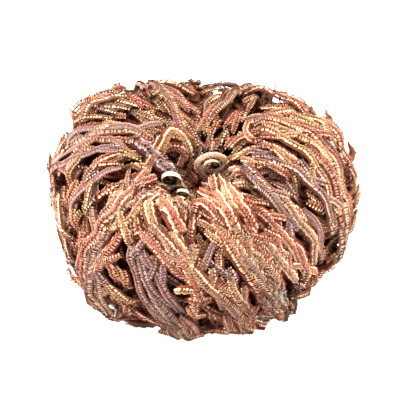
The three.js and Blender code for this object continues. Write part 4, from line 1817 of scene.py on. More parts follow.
@dataclass(frozen=True)
class Stems:
    """The single stems and fronds that lie on top of the others."""

    cloth: Cloth = Cloth(
        detail=Detail.PLAIN, pitch=0.7, core_sides=6, core_step=1.0,
        core_width=1.8, core_height=0.24, core_sunk=0.36,
    )
    step: float = 0.6
    weave: float = 0.45  # it rises and dips by this much between its neighbours
    weave_length: float = 11
    ball_radius: float = 34  # side branches follow the ball's curve
    dip: float = 4.0  # length over which an end dips
    branch_gap: Pair = (2.6, 4.0)
    branch_length: Pair = (3.8, 6.5)
    branch_angle: Pair = (0.55, 1.0)
    branch_width: float = 0.82
    branch_dip: float = 0.4
    branch_dip_spread: float = 1.4
    branch_margin: float = 3.0  # how far from the ends the branches stand
    branch_bend: float = 0.5  # how much of its angle a branch loses
    branch_tip: float = 0.75  # width of its tip
    borne: float = 0.8  # share of them that are there at all
    slender: float = 0.86  # of every stem's width
    tip_width: float = 0.7
    roll_spread: float = 0.6
    tint_spread: float = 0.2
    # name, places that it passes, width, wear, tint, branches, lift, and how far its foot and its tip dip
    stems: tuple[Stem, ...] = (
        Stem("upper_left_stem", ((57, 147), (80, 129), (122, 124), (156, 137)), 2.0, 0.9, 0.9, 0.1),
        Stem("upper_left_fork", ((98, 127), (114, 138), (128, 147)), 1.7, 0.85, 0.9),
        Stem("left_stem", ((57, 167), (84, 152), (112, 144)), 1.7, 0.8, 0.9, 0.15),
        Stem("left_rising_stem", ((60, 217), (88, 180), (120, 163)), 1.8, 0.8, 0.9, 0.2),
        Stem(
            "diving_frond", ((134, 138), (152, 156), (172, 173), (192, 190)), 3.0, 0.35, 1.0,
            lift=1.3, sunk_foot=3.2, sunk_tip=2.0,
        ),
        Stem(
            "long_red_frond", ((97, 312), (82, 265), (96, 232), (120, 200), (150, 166)), 2.3, 0.1, 0.2, 0.25
        ),
        Stem("lower_left_frond", ((174, 318), (152, 292), (138, 262), (134, 246)), 1.9, 0.45, 0.95, 0.4),
        Stem("lower_left_twin", ((157, 318), (139, 292), (130, 266), (127, 248)), 1.8, 0.4, 1.0, 0.4),
        Stem("lower_left_third", ((186, 322), (168, 300), (150, 270), (142, 250)), 1.8, 0.5, 1.0, 0.3),
        Stem("ridge_frond", ((240, 314), (209, 288), (175, 255), (150, 225)), 2.3, 0.2, 0.75, 0.4),
        Stem("foot_frond_left", ((200, 296), (186, 290), (174, 292)), 2.0, 0.0, 0.5, 0.8, 0.6),
        Stem("foot_frond_right", ((214, 302), (198, 304), (184, 300)), 2.0, 0.0, 0.1, 0.8, 0.6),
        Stem("foot_frond_low", ((206, 320), (194, 316), (188, 308)), 2.0, 0.1, 0.4, 0.8, 0.5),
        Stem("foot_frond_far_right", ((250, 310), (236, 296), (230, 280)), 2.0, 0.1, 0.7, 0.8, 0.5),
        Stem("top_left_stem", ((170, 95), (176, 114), (184, 132), (205, 150)), 1.7, 0.5, 0.1, 0.1),
        Stem("top_right_stem", ((230, 90), (210, 110), (196, 131)), 1.7, 0.5, 0.1, 0.1),
        Stem("right_arc", ((260, 110), (300, 126), (330, 150), (345, 185), (350, 222)), 2.1, 0.15, 0.2, 0.3),
        Stem("right_inner_arc", ((255, 122), (295, 142), (322, 172), (335, 215)), 2.0, 0.05, 0.5, 0.4),
        Stem("right_mauve_frond", ((236, 158), (268, 190), (300, 230)), 2.3, 0.4, 0.95, 0.4),
        Stem("front_right_frond", ((270, 306), (240, 262), (207, 207)), 2.3, 0.1, 0.3, 0.45),
        Stem("front_right_twin", ((286, 296), (262, 250), (238, 205)), 2.2, 0.0, 0.1, 0.45, -0.5),
        Stem("front_frond", ((205, 312), (188, 272), (172, 214)), 2.3, 0.0, 0.15, 0.5),
        Stem(
            "peaked_frond", ((152, 165), (161, 145), (174, 132), (186, 140), (193, 155)),
            2.3, 0.0, 0.4, 0.3, 0.8,
        ),
        Stem("peaked_side_frond", ((147, 172), (155, 152), (165, 136)), 2.2, 0.0, 0.05, 0.5, 0.5),
        Stem(
            "peaked_inner_frond", ((166, 156), (176, 147), (186, 152), (181, 168)), 2.2, 0.0, 0.25, 0.0, 0.5
        ),
        Stem("ribbed_frond", ((128, 207), (142, 195), (158, 190)), 2.4, 0.0, 0.8, 0.2),
        Stem("dark_stem", ((196, 280), (205, 262), (214, 246), (223, 231)), 1.5, 0.55, 1.0, 0.0, -0.6),
        Stem("toothed_tip_left", ((238, 230), (222, 205), (203, 181)), 2.6, 0.0, 0.1, 0.2, 0.9),
        Stem("toothed_tip_middle", ((242, 218), (228, 196), (218, 176)), 2.2, 0.0, 0.5, 0.1, 0.2),
        Stem("toothed_tip_right", ((258, 230), (242, 206), (229, 185)), 2.4, 0.0, 0.25, 0.2, 0.8),
        Stem("folded_frond", ((230, 232), (211, 207), (197, 202), (193, 213)), 2.3, 0.0, 0.15, 0.0, 0.6),
        Stem("red_tip_under_coils", ((180, 232), (170, 211), (160, 198)), 3.0, 0.0, 0.22, 0.3, 0.5),
        Stem("cream_tip_under_coils", ((160, 234), (151, 215), (150, 200)), 2.2, 0.0, 0.5, 0.0, 0.3),
        Stem("curled_strand", ((264, 130), (255, 138), (245, 130), (248, 119), (259, 117)), 1.6, 0.0, 0.2),
        Stem("right_middle_arc", ((262, 152), (298, 170), (322, 192), (338, 228)), 2.1, 0.2, 0.9, 0.3),
        Stem("right_lower_arc", ((256, 178), (285, 201), (306, 226), (322, 254)), 2.1, 0.3, 0.6, 0.4),
        Stem("right_low_arc", ((250, 202), (272, 222), (292, 246), (308, 272)), 2.1, 0.1, 0.3, 0.5),
        Stem("right_thin_stem", ((308, 205), (320, 232), (326, 260)), 1.8, 0.8, 1.0),
        Stem("right_foot_frond", ((262, 234), (281, 258), (298, 284)), 2.1, 0.2, 0.8, 0.5),
        Stem("right_foot_twin", ((286, 232), (302, 256), (312, 276)), 2.0, 0.1, 0.1, 0.5),
        Stem("rim_frond", ((292, 108), (322, 124), (340, 148)), 2.2, 0.0, 0.5, 0.5),
        Stem("left_corner_frond", ((126, 92), (108, 97), (94, 105), (80, 120)), 2.0, 0.4, 0.7, 0.6, 0.8),
        Stem("right_corner_frond", ((246, 86), (268, 91), (288, 99), (306, 112)), 1.9, 0.1, 0.2, 0.6, 0.5),
        Stem("rim_red_frond", ((318, 112), (338, 134), (350, 162)), 2.1, 0.1, 0.2, 0.4),
    )

    def _clothe(
        self, weave: Weave, stem: Stem, points: Array, outward: Array, half: Array, seed: int
    ) -> None:
        """Adds one clothed strand that follows points in space.

        Args:
            weave: The piece that it belongs to.
            stem: The stem, for its shade and wear.
            points: The points.
            outward: The way out from the ball at each of them.
            half: Half widths there.
            seed: Seed of its irregularities.
        """
        line = Line.through(points, outward, jitter(seed, 2.2, self.roll_spread))
        tint = float(np.clip(stem.tint + jitter(seed, 9.4, self.tint_spread), 0, 1))
        flat = np.zeros(len(points))
        self.cloth.clothe(weave, line, half, flat + stem.wear, flat, tint, seed)

    def build(self, material: Material, find: Find) -> None:
        """Builds every stem as a piece of its own.

        Args:
            material: Their finish.
            find: What turns a place of the view into a place on the ball.
        """
        for number, stem in enumerate(self.stems):
            weave = Weave()
            self._stem(weave, stem, find, Seeds.STEMS + Seeds.STEM_STEP * number)
            weave.piece(stem.name, [], material)

    def _stem(self, weave: Weave, stem: Stem, find: Find, seed: int) -> None:
        """Adds one stem with its side branches.

        Args:
            weave: The piece that it belongs to.
            stem: The stem.
            find: What turns a place of the view into a place on the ball.
            seed: Seed of its irregularities.
        """
        places, ways_out = (np.array(column) for column in zip(*(find(*spot) for spot in stem.spots)))
        total = float(np.linalg.norm(np.diff(places, axis=0), axis=1).sum())
        t = np.linspace(0, len(stem.spots) - 1, max(6, int(total / self.step)))
        outward = unit(smooth_line(ways_out, t)[0])
        length = total * t / t[-1]
        foot = 1 - smoothstep(length, 0, self.dip)
        tip = smoothstep(length, total - self.dip, total)
        wave = self.weave * np.sin(TURN * (length / self.weave_length + chance(seed, 5.5)))
        rise = stem.lift + wave - stem.sunk_foot * foot - stem.sunk_tip * tip
        points = smooth_line(places, t)[0] + outward * rise[:, None]
        narrowing = lerp(1, self.tip_width, smoothstep(length / total, 0.8, 1))
        half = 0.5 * self.slender * stem.width * narrowing
        self._clothe(weave, stem, points, outward, half, seed)
        at, side, number = self.branch_margin, 1, 0
        while at < total - self.branch_margin and stem.branches > 0:
            number += 1
            side = -side
            if chance(seed + number, 1.3) < self.borne * stem.branches:
                k = min(int(np.searchsorted(length, at)), len(points) - 2)
                ahead = points[k + 1] - points[k]
                self._branch(weave, stem, points[k], ahead, outward[k], side, seed + number)
            at += lerp(*self.branch_gap, chance(seed + number, 2.9))

    def _branch(
        self, weave: Weave, stem: Stem, start: Array, ahead: Array, outward: Array, side: int, seed: int
    ) -> None:
        """Adds one side branch, which leaves the stem at an angle and bends back along it.

        Args:
            weave: The piece that it belongs to.
            stem: The stem that bears it.
            start: Where it leaves.
            ahead: A step along the stem there.
            outward: The way out from the ball there.
            side: 1 or -1.
            seed: Seed of its irregularities.
        """
        reach = lerp(*self.branch_length, chance(seed, 5.1))
        steps = np.arange(0, reach, self.step)
        straightened = 1 - self.branch_bend * steps / reach
        angle = side * lerp(*self.branch_angle, chance(seed, 6.2)) * straightened
        forward = unit(ahead - outward * float(ahead @ outward))
        aside = np.cross(outward, forward)
        along, across = np.cumsum(np.cos(angle)) * self.step, np.cumsum(np.sin(angle)) * self.step
        dip = jitter(seed, 3.3, self.branch_dip_spread) + self.branch_dip
        drop = steps**2 / (2 * self.ball_radius) + dip * smoothstep(steps, 0, reach)
        points = start + along[:, None] * forward + across[:, None] * aside - drop[:, None] * outward
        wide = self.slender * stem.width * self.branch_width
        half = 0.5 * wide * lerp(1, self.branch_tip, smoothstep(steps / reach, 0.7, 1))
        outward = np.tile(outward, (len(steps), 1))
        self._clothe(weave, stem, points, outward, half, seed + Seeds.BRANCHES)


@dataclass(frozen=True)
class Tangle:
    """A tangle of fine hairs that grow from one place on the ball."""

    name: str
    spot: Pair  # pixels across and down
    count: int
    length: Pair
    radius: float
    spread: float  # of their feet, in millimetres
    curl: float
    foot_depth: float = 1.0
    points: int = 14
    sway: float = 0.12  # of its length
    tip_width: float = 0.4

    def build(self, material: Material, find: Find, seed: int) -> None:
        """Builds the hairs as one piece.

        Args:
            material: Their finish.
            find: What turns a place of the view into a place on the ball.
            seed: Seed of their irregularities.
        """
        weave = Weave()
        draw = np.random.default_rng(seed)
        middle, outward = find(*self.spot)
        for _ in range(self.count):
            scatter = draw.normal(0, self.spread, 3)
            foot = middle + scatter - outward * (float(scatter @ outward) + self.foot_depth)
            aside = unit(np.cross(outward, unit(draw.normal(0, 1, 3))))
            t = np.linspace(0, 1, self.points)[:, None]
            reach = draw.uniform(*self.length)
            bend = self.curl * reach * draw.uniform(0.3, 1.0)
            wave = self.sway * reach * np.sin(TURN * (t * draw.uniform(0.6, 1.6) + draw.uniform())) * t
            points = foot + outward * reach * (t - 0.35 * t**2) + aside * (bend * t**2 + wave)
            points[:, 2] = np.maximum(points[:, 2], self.radius)
            line = Line.through(points, np.tile(np.cross(outward, aside), (len(t), 1)))
            thick = self.radius * lerp(1.0, self.tip_width, t[:, 0])
            weave.tube(line, thick, thick, 4, 0.7)
        weave.piece(self.name, [], material)


TANGLES = (
    Tangle("upper_right_rootlets", (272, 96), 14, (3.5, 7.0), 0.2, 2.2, 0.5),
    Tangle("lower_right_rootlets", (272, 306), 14, (3.0, 6.5), 0.16, 2.4, 0.5),
    Tangle("lower_rootlets", (232, 322), 8, (2.5, 5.0), 0.15, 2.2, 0.5),
    Tangle("upper_left_rootlets", (92, 96), 5, (2.5, 4.5), 0.15, 1.6, 0.4),
)
FLUFF = Tangle("grey_fluff", (276, 302), 60, (1.5, 3.5), 0.07, 1.4, 0.7)


# ---- heart, crown and coils


@dataclass(frozen=True)
class Turned:
    """A closed body of revolution taken into the settled ball."""

    section: tuple[Triple, ...]  # radius, height and twist
    sides: int
    bottom: float
    top: float

    def points(self, ripple: Callable[[Array, int], Array]) -> tuple[Array, Array]:
        """Its vertices and triangles.

        Args:
            ripple: What is added to the radius, for azimuths and a ring's number.

        Returns:
            Vertices and triangles.
        """
        azimuth = TURN * np.arange(self.sides) / self.sides
        rings = [
            BALL.on_circle(azimuth + twist, radius + ripple(azimuth, k), np.full(self.sides, height))
            for k, (radius, height, twist) in enumerate(self.section)
        ]
        poles = BALL.settle(np.array([[0, 0, self.bottom], [0, 0, self.top]], float))
        points = np.concatenate([*rings, poles])
        i = np.arange(self.sides)
        j = (i + 1) % self.sides
        foot, head = len(points) - 2, len(points) - 1
        top_row = (len(rings) - 1) * self.sides
        faces = [np.stack([np.full(self.sides, foot), j, i], axis=-1)]
        for k in range(len(rings) - 1):
            low, high = k * self.sides, (k + 1) * self.sides
            faces.append(np.stack([low + i, low + j, high + j], axis=-1))
            faces.append(np.stack([low + i, high + j, high + i], axis=-1))
        faces.append(np.stack([np.full(self.sides, head), top_row + i, top_row + j], axis=-1))
        return points, np.concatenate(faces)


@dataclass(frozen=True)
class Heart:
    """The youngest fronds, packed round the growing point."""

    depth: float = 8.2
    start: float = 16
    end: float = 90
    rings: int = 32
    sides: int = 204
    pleats: int = 17
    pleat: float = 1.0
    full_pleat_radius: float = 12
    neck: float = 8.6
    bottom: float = 13.45
    floor: tuple[Pair, ...] = ((10.5, 31.0), (7.0, 34.0), (3.6, 36.4))
    top: float = 37.2
    edge: float = 0.12  # marks of the pleated head, which is darkened all over as painted shade
    tint: float = 0.8
    shade: float = 1.08
    strand_count: int = 30
    strand_from: float = 20
    strand_ends: Pair = (84, 98)
    strand_step: float = 1.2
    strand_depth: float = 7.5
    strand_width: float = 2.2
    strand_sway: Pair = (0.05, 40)  # size and length
    strand_heave: Pair = (0.5, 27)
    strand_tip: float = 14  # length over which it narrows
    # painted shade of the young strands over the head
    strand_shade: float = 0.75
    cloth: Cloth = Cloth(detail=Detail.PLAIN, pitch=0.95, core_sides=4, core_step=2.4)
    young_count: int = 72
    young_from: Pair = (15.0, 29.0)  # radius and height at their feet
    young_height: Pair = (36.5, 44.5)  # of their tips
    young_radius: Pair = (1.0, 11.5)
    young_turn: Pair = (-0.9, -0.2)
    young_width: float = 2.1
    young_nod: float = 1.6  # how far their tips nod
    young_spread: float = 0.35  # how far their heights are left to chance
    young_shade: Pair = (35, 43)  # heights over which their painted shade fades out
    wear: float = 0.1
    young_cloth: Cloth = Cloth(detail=Detail.PLAIN, pitch=0.72)

    def build(self, material: Material) -> None:
        """Builds the pleated head and the young strands over it.

        Args:
            material: Its finish.
        """
        section = [(self.neck, self.bottom, 0.0)]
        for k in range(self.rings + 1):
            y = lerp(self.start, self.end, k / self.rings)
            radius, height = BALL.section(np.array(y), self.depth)
            section.append((float(radius), float(height), float(BALL.swirl_at(y))))
        section += [(radius, height, BALL.swirl) for radius, height in self.floor]
        body = Turned(tuple(section), self.sides, self.bottom, self.top)

        def ripple(azimuth: Array, k: int) -> Array:
            """The pleats, shallower near the axis."""
            share = min(1, section[k][0] / self.full_pleat_radius) if k > 0 else 0
            return self.pleat * share * np.cos(self.pleats * azimuth)

        weave = Weave()
        points, faces = body.points(ripple)
        # the head is darkened all over as painted shade
        weave.add(points, faces, True, edge=self.edge, tint=self.tint, deep=self.shade)
        for i in range(self.strand_count):
            self._strand(weave, i)
        for i in range(self.young_count):
            self._young(weave, i)
        weave.piece("packed_heart", ["heart"], material)

    def _strand(self, weave: Weave, i: int) -> None:
        """Adds one young strand that runs over the head and ends on the mound in the hollow.

        Args:
            weave: The piece that it belongs to.
            i: Its number.
        """
        base = TURN * (i + jitter(i, 61.0, 0.5)) / self.strand_count
        end = lerp(*self.strand_ends, chance(i, 62.0))
        y = np.arange(self.strand_from, end, self.strand_step)
        sway = self.strand_sway[0] * np.sin(TURN * (y / self.strand_sway[1] + chance(i, 63.0)))
        heave = self.strand_heave[0] * np.sin(TURN * (y / self.strand_heave[1] + chance(i, 64.0)))
        depth = self.strand_depth - heave
        azimuth = base + BALL.swirl_at(y) + sway
        line = Line.on_ball(azimuth, y, depth, jitter(i, 65.0, 0.6))
        half = 0.5 * self.strand_width * lerp(1, 0.55, smoothstep(y, end - self.strand_tip, end))
        wear, deep = np.full(y.shape, self.wear), np.full(y.shape, self.strand_shade)
        self.cloth.clothe(weave, line, half, wear, deep, chance(i, 66.0), Seeds.HEART + i)

    def _young(self, weave: Weave, i: int) -> None:
        """Adds one of the youngest fronds, which rises from the edge of the mound and curls in over it.

        Args:
            weave: The piece that it belongs to.
            i: Its number.
        """
        t = np.linspace(0, 1, 30)
        start_radius, start_height = self.young_from
        end_radius = lerp(*self.young_radius, chance(i, 71.0) ** 1.3)
        outer = end_radius / self.young_radius[1]
        end_height = lerp(*self.young_height, lerp(outer, chance(i, 72.0), self.young_spread))
        turn = lerp(*self.young_turn, chance(i, 73.0))
        azimuth = TURN * (i + jitter(i, 74.0, 0.8)) / self.young_count + BALL.swirl + turn * t**1.5
        radius = lerp(start_radius, end_radius, t**1.2) + 0.5 * np.sin(TURN * (t + chance(i, 75.0))) * t
        nod = self.young_nod * smoothstep(t, 0.75, 1.0) * chance(i, 76.0)
        height = lerp(start_height, end_height, np.sin(0.5 * math.pi * t)) - nod
        points = BALL.on_circle(azimuth, radius, height)
        raised = BALL.on_circle(azimuth, radius + 0.05, height + 0.2)
        line = Line.through(points, raised - points, jitter(i, 77.0, 1.4))
        half = 0.5 * self.young_width * lerp(1, 0.5, smoothstep(t, 0.7, 1))
        # painted shade: the young fronds are darker the lower they stand in the hollow
        deep = lerp(1.0, 0.05, smoothstep(height, *self.young_shade))
        wear = np.full(t.shape, self.wear)
        self.young_cloth.clothe(weave, line, half, wear, deep, chance(i, 78.0), Seeds.YOUNG + i)


@dataclass(frozen=True)
class Crown:
    """The woody crown that the fronds grow from, with its mat of wiry roots at the foot."""

    section: tuple[Pair, ...] = (
        (11.4, -1.5), (11.8, 0.4), (10.9, 0.8), (9.8, 1.8), (9.75, 5.0), (9.7, 8.0), (9.7, 11.2), (8.6, 12.9),
    )  # radius and height
    top: float = 13.1
    sides: int = 144
    lobes: int = 7
    lobe: float = 0.5
    ribs: int = 31
    rib: float = 0.28
    foot_heights: Pair = (0.5, 1.3)
    root_count: int = 150
    root_radius: float = 0.2
    root_from: float = 9.6
    root_length: Pair = (5, 14)
    root_points: int = 12
    root_start: Pair = (0.6, 3.0)  # height where it leaves, and where it lies
    root_low: Pair = (0.3, 2.4)
    root_tip: float = 0.35  # of its radius
    root_shift: float = 0.3  # of the ball's own

    def build(self, material: Material) -> None:
        """Builds the crown and its roots.

        Args:
            material: Their finish.
        """
        section = tuple((radius, height, 0.0) for radius, height in self.section)
        body = Turned(section, self.sides, self.section[0][1], self.top)

        def ripple(azimuth: Array, k: int) -> Array:
            """Lobes at the foot and fibrous ribs above it.

            Args:
                azimuth: Azimuths.
                k: The ring's number.

            Returns:
                What is added to the radius there.
            """
            if self.section[k][1] < self.foot_heights[1]:
                return self.lobe * np.sin(self.lobes * azimuth)
            return self.rib * np.sin(self.ribs * azimuth + 0.8 * k)

        points, faces = body.points(ripple)
        share = 1 - smoothstep(points[:, 2], *self.foot_heights)
        for k in (0, 1):
            points[:, k] -= BALL.axis_foot[k] * share
        points[:, 2] = np.maximum(points[:, 2], 0)
        weave = Weave()
        weave.add(points, faces, True)
        for i in range(self.root_count):
            self._root(weave, i)
        weave.piece("woody_crown", ["root_crown"], material)

    def _root(self, weave: Weave, i: int) -> None:
        """Adds one wiry root that leaves the foot and lies under the ball.

        Args:
            weave: The piece that it belongs to.
            i: Its number.
        """
        draw = np.random.default_rng(Seeds.ROOTS + i)
        azimuth = TURN * i / self.root_count + draw.uniform(-0.05, 0.05)
        length = draw.uniform(*self.root_length)
        t = np.linspace(0, 1, self.root_points)
        radius = self.root_from + length * t
        wander = draw.uniform(-0.5, 0.5) * t
        wander = wander + 0.12 * np.sin(TURN * (t * draw.uniform(0.8, 2) + draw.uniform()))
        start, low = draw.uniform(*self.root_start), draw.uniform(*self.root_low)
        height = lerp(start, low, smoothstep(t, 0, 0.6)) + 0.5 * np.sin(TURN * (t * 1.7 + draw.uniform())) * t
        turned = azimuth + wander
        x = radius * np.cos(turned) + BALL.axis_foot[0] * self.root_shift
        y = BALL.front_to_back * radius * np.sin(turned) + BALL.axis_foot[1] * self.root_shift
        points = np.stack([x, y, np.maximum(height, self.root_radius + 0.05)], axis=-1)
        line = Line.through(points, np.tile([0.0, 0.0, 1.0], (len(t), 1)))
        thick = self.root_radius * lerp(1.0, self.root_tip, t)
        weave.tube(line, thick, thick, 4, 1.2)


@dataclass(frozen=True)
class Coil:
    """One curled tip that stands in the hollow, by the same numbers as its solid."""

    name: str
    middle: Triple
    radius: float
    turns: float
    faces: float
    pitch: float
    width: float
    thickness: float
    root_angle: float
    root: Triple
    inside: float = 0.4
    taper: float = 0.6
    thinned: float = 0.4  # its thickness, as a share of the solid's
    narrowed: float = 0.75  # the ribbon's width, as a share of the solid's
    dark_from: float = 0.62  # share of its length after which painted shade darkens it inside
    scaly_to: float = 0.0  # share of its length that is a scaly rope
    rope_turn: float = -1.15
    rope_width: float = 0.92  # as a share of the solid's
    # the rope's core carries less painted shade than other strands
    rope_cloth: Cloth = Cloth(pitch=0.62, core_width=1.0, core_painted_shade=0.3)
    rope_tint: float = 0.3
    step: float = 5.0  # degrees
    sides: int = 10
    cupped: float = 0.35  # how hollow the ribbon is
    dark_over: float = 0.15
    dark_facing: Pair = (0.3, 1.5)  # how dark the side that faces in is, its own olive deepened by painted shade, and how sharply

    def line(self) -> tuple[Line, Array]:
        """Its middle line.

        Returns:
            The line, whose out direction points away from the coil's middle, and each point's share of
            the way along the coil.
        """
        facing = math.radians(self.faces)
        side = np.array([-math.sin(facing), math.cos(facing), 0])
        front = np.array([math.cos(facing), math.sin(facing), 0])
        up = np.array([0.0, 0.0, 1.0])
        sweep = 360 * abs(self.turns)
        turned = np.arange(0, sweep + 0.1, self.step)
        angle = np.radians(self.root_angle - np.sign(self.turns) * turned)
        radius = self.radius * lerp(1, self.inside, turned / sweep)
        points = (
            np.array(self.middle)
            + side * (radius * np.cos(angle))[:, None]
            + up * (radius * np.sin(angle))[:, None]
            + front * (self.pitch * turned / 360)[:, None]
        )
        root = np.array(self.root, float)
        stalk = np.array([root + (points[0] - root) * t for t in (0, 0.25, 0.5, 0.75)])
        points = np.concatenate([stalk, points])
        share = np.concatenate([np.zeros(4), turned / sweep])
        along = unit(np.gradient(points, axis=0))
        out = np.cross(along, front) * -np.sign(self.turns)
        settled = BALL.settle(points)
        raised = BALL.settle(points + 0.1 * unit(out))
        return Line.through(settled, raised - settled), share

    def build(self, material: Material, scales: Material) -> None:
        """Builds the coil as a curved ribbon, with the scaly strand that it begins as.

        Args:
            material: Finish of the ribbon.
            scales: Finish of the strand.
        """
        line, share = self.line()
        half = 0.5 * self.width * lerp(1, self.taper, share)
        weave = Weave()
        angle = TURN * np.arange(self.sides) / self.sides
        wide = self.narrowed * half[:, None] * np.cos(angle)
        high = 0.5 * self.thinned * self.thickness * (np.sin(angle) - self.cupped * np.cos(angle) ** 2)
        ring = (
            line.points[:, None]
            + line.side[:, None] * wide[..., None]
            + line.out[:, None] * high[..., None]
        )
        darkest, sharpness = self.dark_facing
        # painted shade on the side that faces in and on the coil's inner turns
        facing_in_shade = np.clip(darkest - np.sin(angle) * sharpness, 0, 1)[None]
        inside = smoothstep(share, self.dark_from, self.dark_from + self.dark_over)[:, None]
        faces = tube_faces(len(line.points), self.sides)
        weave.add(ring, faces, True, deep=np.maximum(facing_in_shade, inside))
        weave.piece(f"pale_{self.name}", [self.name], material)
        if self.scaly_to > 0:
            self._rope(line, share, half, scales)

    def _rope(self, line: Line, share: Array, half: Array, scales: Material) -> None:
        """Builds the scaly strand that the coil begins as.

        Args:
            line: The coil's middle line.
            share: Each point's share of the way along the coil.
            half: Half widths of the coil.
            scales: The strand's finish.
        """
        kept = share <= self.scaly_to
        rope = Line.through(line.points[kept], line.out[kept], self.rope_turn)
        flat = np.zeros(int(kept.sum()))
        weave = Weave()
        wide = half[kept] * self.rope_width
        self.rope_cloth.clothe(weave, rope, wide, flat, flat, self.rope_tint, Seeds.ROPE)
        weave.piece(f"scaly_{self.name}", [], scales)


COILS = (
    Coil(
        "coiled_tip_1", middle=(5.0, 4.6, 44.0), radius=4.0, turns=1.55, faces=-80, pitch=0.5, width=1.7,
        thickness=0.8, root_angle=200, root=(3.4, 2.4, 37.3), dark_from=2.0, scaly_to=0.74,
    ),
    Coil(
        "coiled_tip_2", middle=(-5.4, -1.6, 44.8), radius=2.8, turns=-1.2, faces=-78, pitch=0.4, width=2.0,
        thickness=0.7, root_angle=-30, root=(-2.4, -0.2, 37.6),
    ),
    Coil(
        "coiled_tip_3", middle=(-3.0, -4.4, 42.2), radius=1.9, turns=-0.85, faces=-90, pitch=0.3, width=1.4,
        thickness=0.65, root_angle=-30, root=(-0.6, -2.2, 37.8),
    ),
)


# ---- studio


@dataclass(frozen=True)
class Lamp:
    """One soft round light, in metres and watts."""

    name: str
    place: Triple
    size: float
    power: float


@dataclass(frozen=True)
class Studio:
    """Floor, soft lights and the camera."""

    floor_size: float = 6.0
    ambient: float = 0.88
    lamps: tuple[Lamp, ...] = (
        Lamp("key_light", (-0.1, 0.0, 0.85), 0.1, 8.5),
        Lamp("right_light", (0.8, 0.05, 0.25), 0.5, 15.0),
        Lamp("left_light", (-0.8, -0.15, 0.22), 0.4, 18.0),
        Lamp("back_light", (-0.15, 0.75, 0.45), 0.5, 15.0),
    )

    def build(self) -> None:
        """Builds the studio."""
        self._floor()
        for lamp in self.lamps:
            self._light(lamp)
        world = bpy.data.worlds.new("soft_surroundings")
        world.use_nodes = True
        background = world.node_tree.nodes["Background"]
        background.inputs["Color"].default_value = (1, 1, 1, 1)
        background.inputs["Strength"].default_value = self.ambient
        bpy.context.scene.world = world
        bpy.context.scene.view_settings.view_transform = "Standard"
        self._camera()

    def _floor(self) -> None:
        """Adds the floor."""
        half = self.floor_size / 2
        mesh = bpy.data.meshes.new("studio_floor")
        corners = [(-half, -half, 0), (half, -half, 0), (half, half, 0), (-half, half, 0)]
        mesh.from_pydata(corners, [], [(0, 1, 2, 3)])
        mesh.materials.append(FloorFinish().material())
        floor = bpy.data.objects.new("studio_floor", mesh)
        bpy.context.scene.collection.objects.link(floor)

    @staticmethod
    def _light(lamp: Lamp) -> None:
        """Adds one soft light that faces the plant.

        Args:
            lamp: The light.
        """
        data = bpy.data.lights.new(lamp.name, "AREA")
        data.shape = "DISK"
        data.size = lamp.size
        data.energy = lamp.power
        made = bpy.data.objects.new(lamp.name, data)
        made.location = lamp.place
        aim = Vector(SIGHT.target) * METRES - Vector(lamp.place)
        made.rotation_euler = aim.to_track_quat("-Z", "Y").to_euler()
        bpy.context.scene.collection.objects.link(made)

    def _camera(self) -> None:
        """Adds the camera."""
        data = bpy.data.cameras.new("view_camera")
        data.lens = SIGHT.lens
        data.sensor_width = SIGHT.sensor
        camera = bpy.data.objects.new("view_camera", data)
        back = Vector(SIGHT.back())
        camera.location = (Vector(SIGHT.target) + back * SIGHT.distance) * METRES
        camera.rotation_euler = (-back).to_track_quat("-Z", "Y").to_euler()
        bpy.context.scene.collection.objects.link(camera)
        bpy.context.scene.camera = camera


# ---- the plant


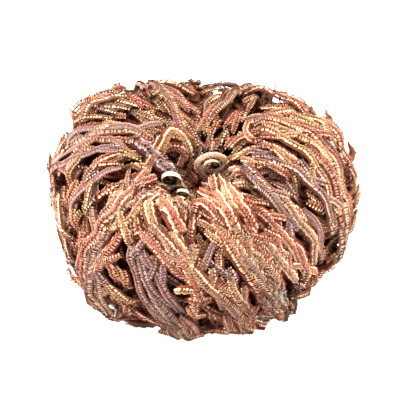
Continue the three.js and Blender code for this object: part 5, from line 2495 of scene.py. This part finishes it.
def rings() -> Iterator[Ring]:
    """The rings of fronds.

    Yields:
        Each ring, from the outermost.
    """
    outer_cloth = Cloth(detail=Detail.PLAIN, pitch=0.7, scale_length=0.8, core_sides=5, core_step=1.7)
    yield Ring(
        "outer_frond", number=0, count=14, depth=1.0, whorl=5.4, width=2.6, turn=0, sway=0.05, phase=1.1,
        reach=(86, 97), lanes=2, lane_max=4.3, strand_width=1.65,
        habit=Habit(), cloth=outer_cloth, finish=FrondFinish("outer_scales"),
    )
    middle_habit = Habit(
        tilt=0.6, branchlets=Branchlets(share=0.45, start=45, rise=(-0.6, 0.5)),
        tufts=Tufts(count=2, over=(52, 92), sunk=4.0, layers=(0.0, 1.6)),
    )
    middle_cloth = Cloth(detail=Detail.PLAIN, pitch=0.95, core_sides=4, core_step=2.2)
    yield Ring(
        "middle_frond", number=1, count=12, depth=3.3, whorl=9, width=2.8, turn=0.5, sway=0.04, phase=3.9,
        reach=(84, 96), lanes=2, lane_max=4.3, strand_width=2.3,
        habit=middle_habit, cloth=middle_cloth, finish=FrondFinish("middle_scales"),
    )
    inner_habit = Habit(
        tilt=0.4, branchlets=Branchlets(share=0.4, start=60, rise=(-0.6, 0.5)), tufts=Tufts(count=0),
    )
    inner_cloth = Cloth(detail=Detail.PLAIN, pitch=1.1, core_sides=4, core_step=2.6)
    yield Ring(
        "inner_frond", number=2, count=10, depth=5.6, whorl=12, width=3.4, turn=0.2, sway=0.05, phase=5.2,
        reach=(84, 94), lanes=1, lane_max=5.2, strand_width=2.8,
        habit=inner_habit, cloth=inner_cloth, finish=FrondFinish("inner_scales"),
    )


def main() -> None:
    """Builds the plant and its studio."""
    logging.basicConfig(level=logging.INFO, format="%(message)s")
    Crown().build(WoodFinish("fibrous_crown").material())
    Heart().build(FrondFinish("young_scales").material())
    fronds = RingFronds()
    for ring in rings():
        fronds.build(ring, ring.finish.material())
    old_scales = FrondFinish("old_scales", age=0.05).material()
    LooseFronds().build(old_scales)
    find = SIGHT.finder()
    Stems().build(old_scales, find)
    wiry = WoodFinish("wiry_rootlets", linear("5a4036"), linear("241612"), 0.8).material()
    for number, tangle in enumerate(TANGLES):
        tangle.build(wiry, find, Seeds.TANGLES + number)
    fluffy = WoodFinish("pale_fluff", linear("d8d2cc"), linear("a39b95"), 0.8).material()
    FLUFF.build(fluffy, find, Seeds.FLUFF)
    pale = CoilFinish("pale_underside").material()
    # a paler copy of the scale finish: the coiled rope is pale, and its colours are lifted further as painted
    # light, as the hollow gets little lamp light
    coil_scales_with_painted_light = FrondFinish(
        "coil_scales_with_painted_light",
        backs=((0.0, linear("e0a078")), (1.0, linear("d08a62"))),
        margins=((0.0, linear("fff4dc")), (1.0, linear("fff0d0"))),
    ).material()
    for coil in COILS:
        coil.build(pale, coil_scales_with_painted_light)
    Studio().build()
    LOG.info("in all: %d triangles", Weave.total)
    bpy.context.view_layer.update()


if __name__ == "__main__":
    main()
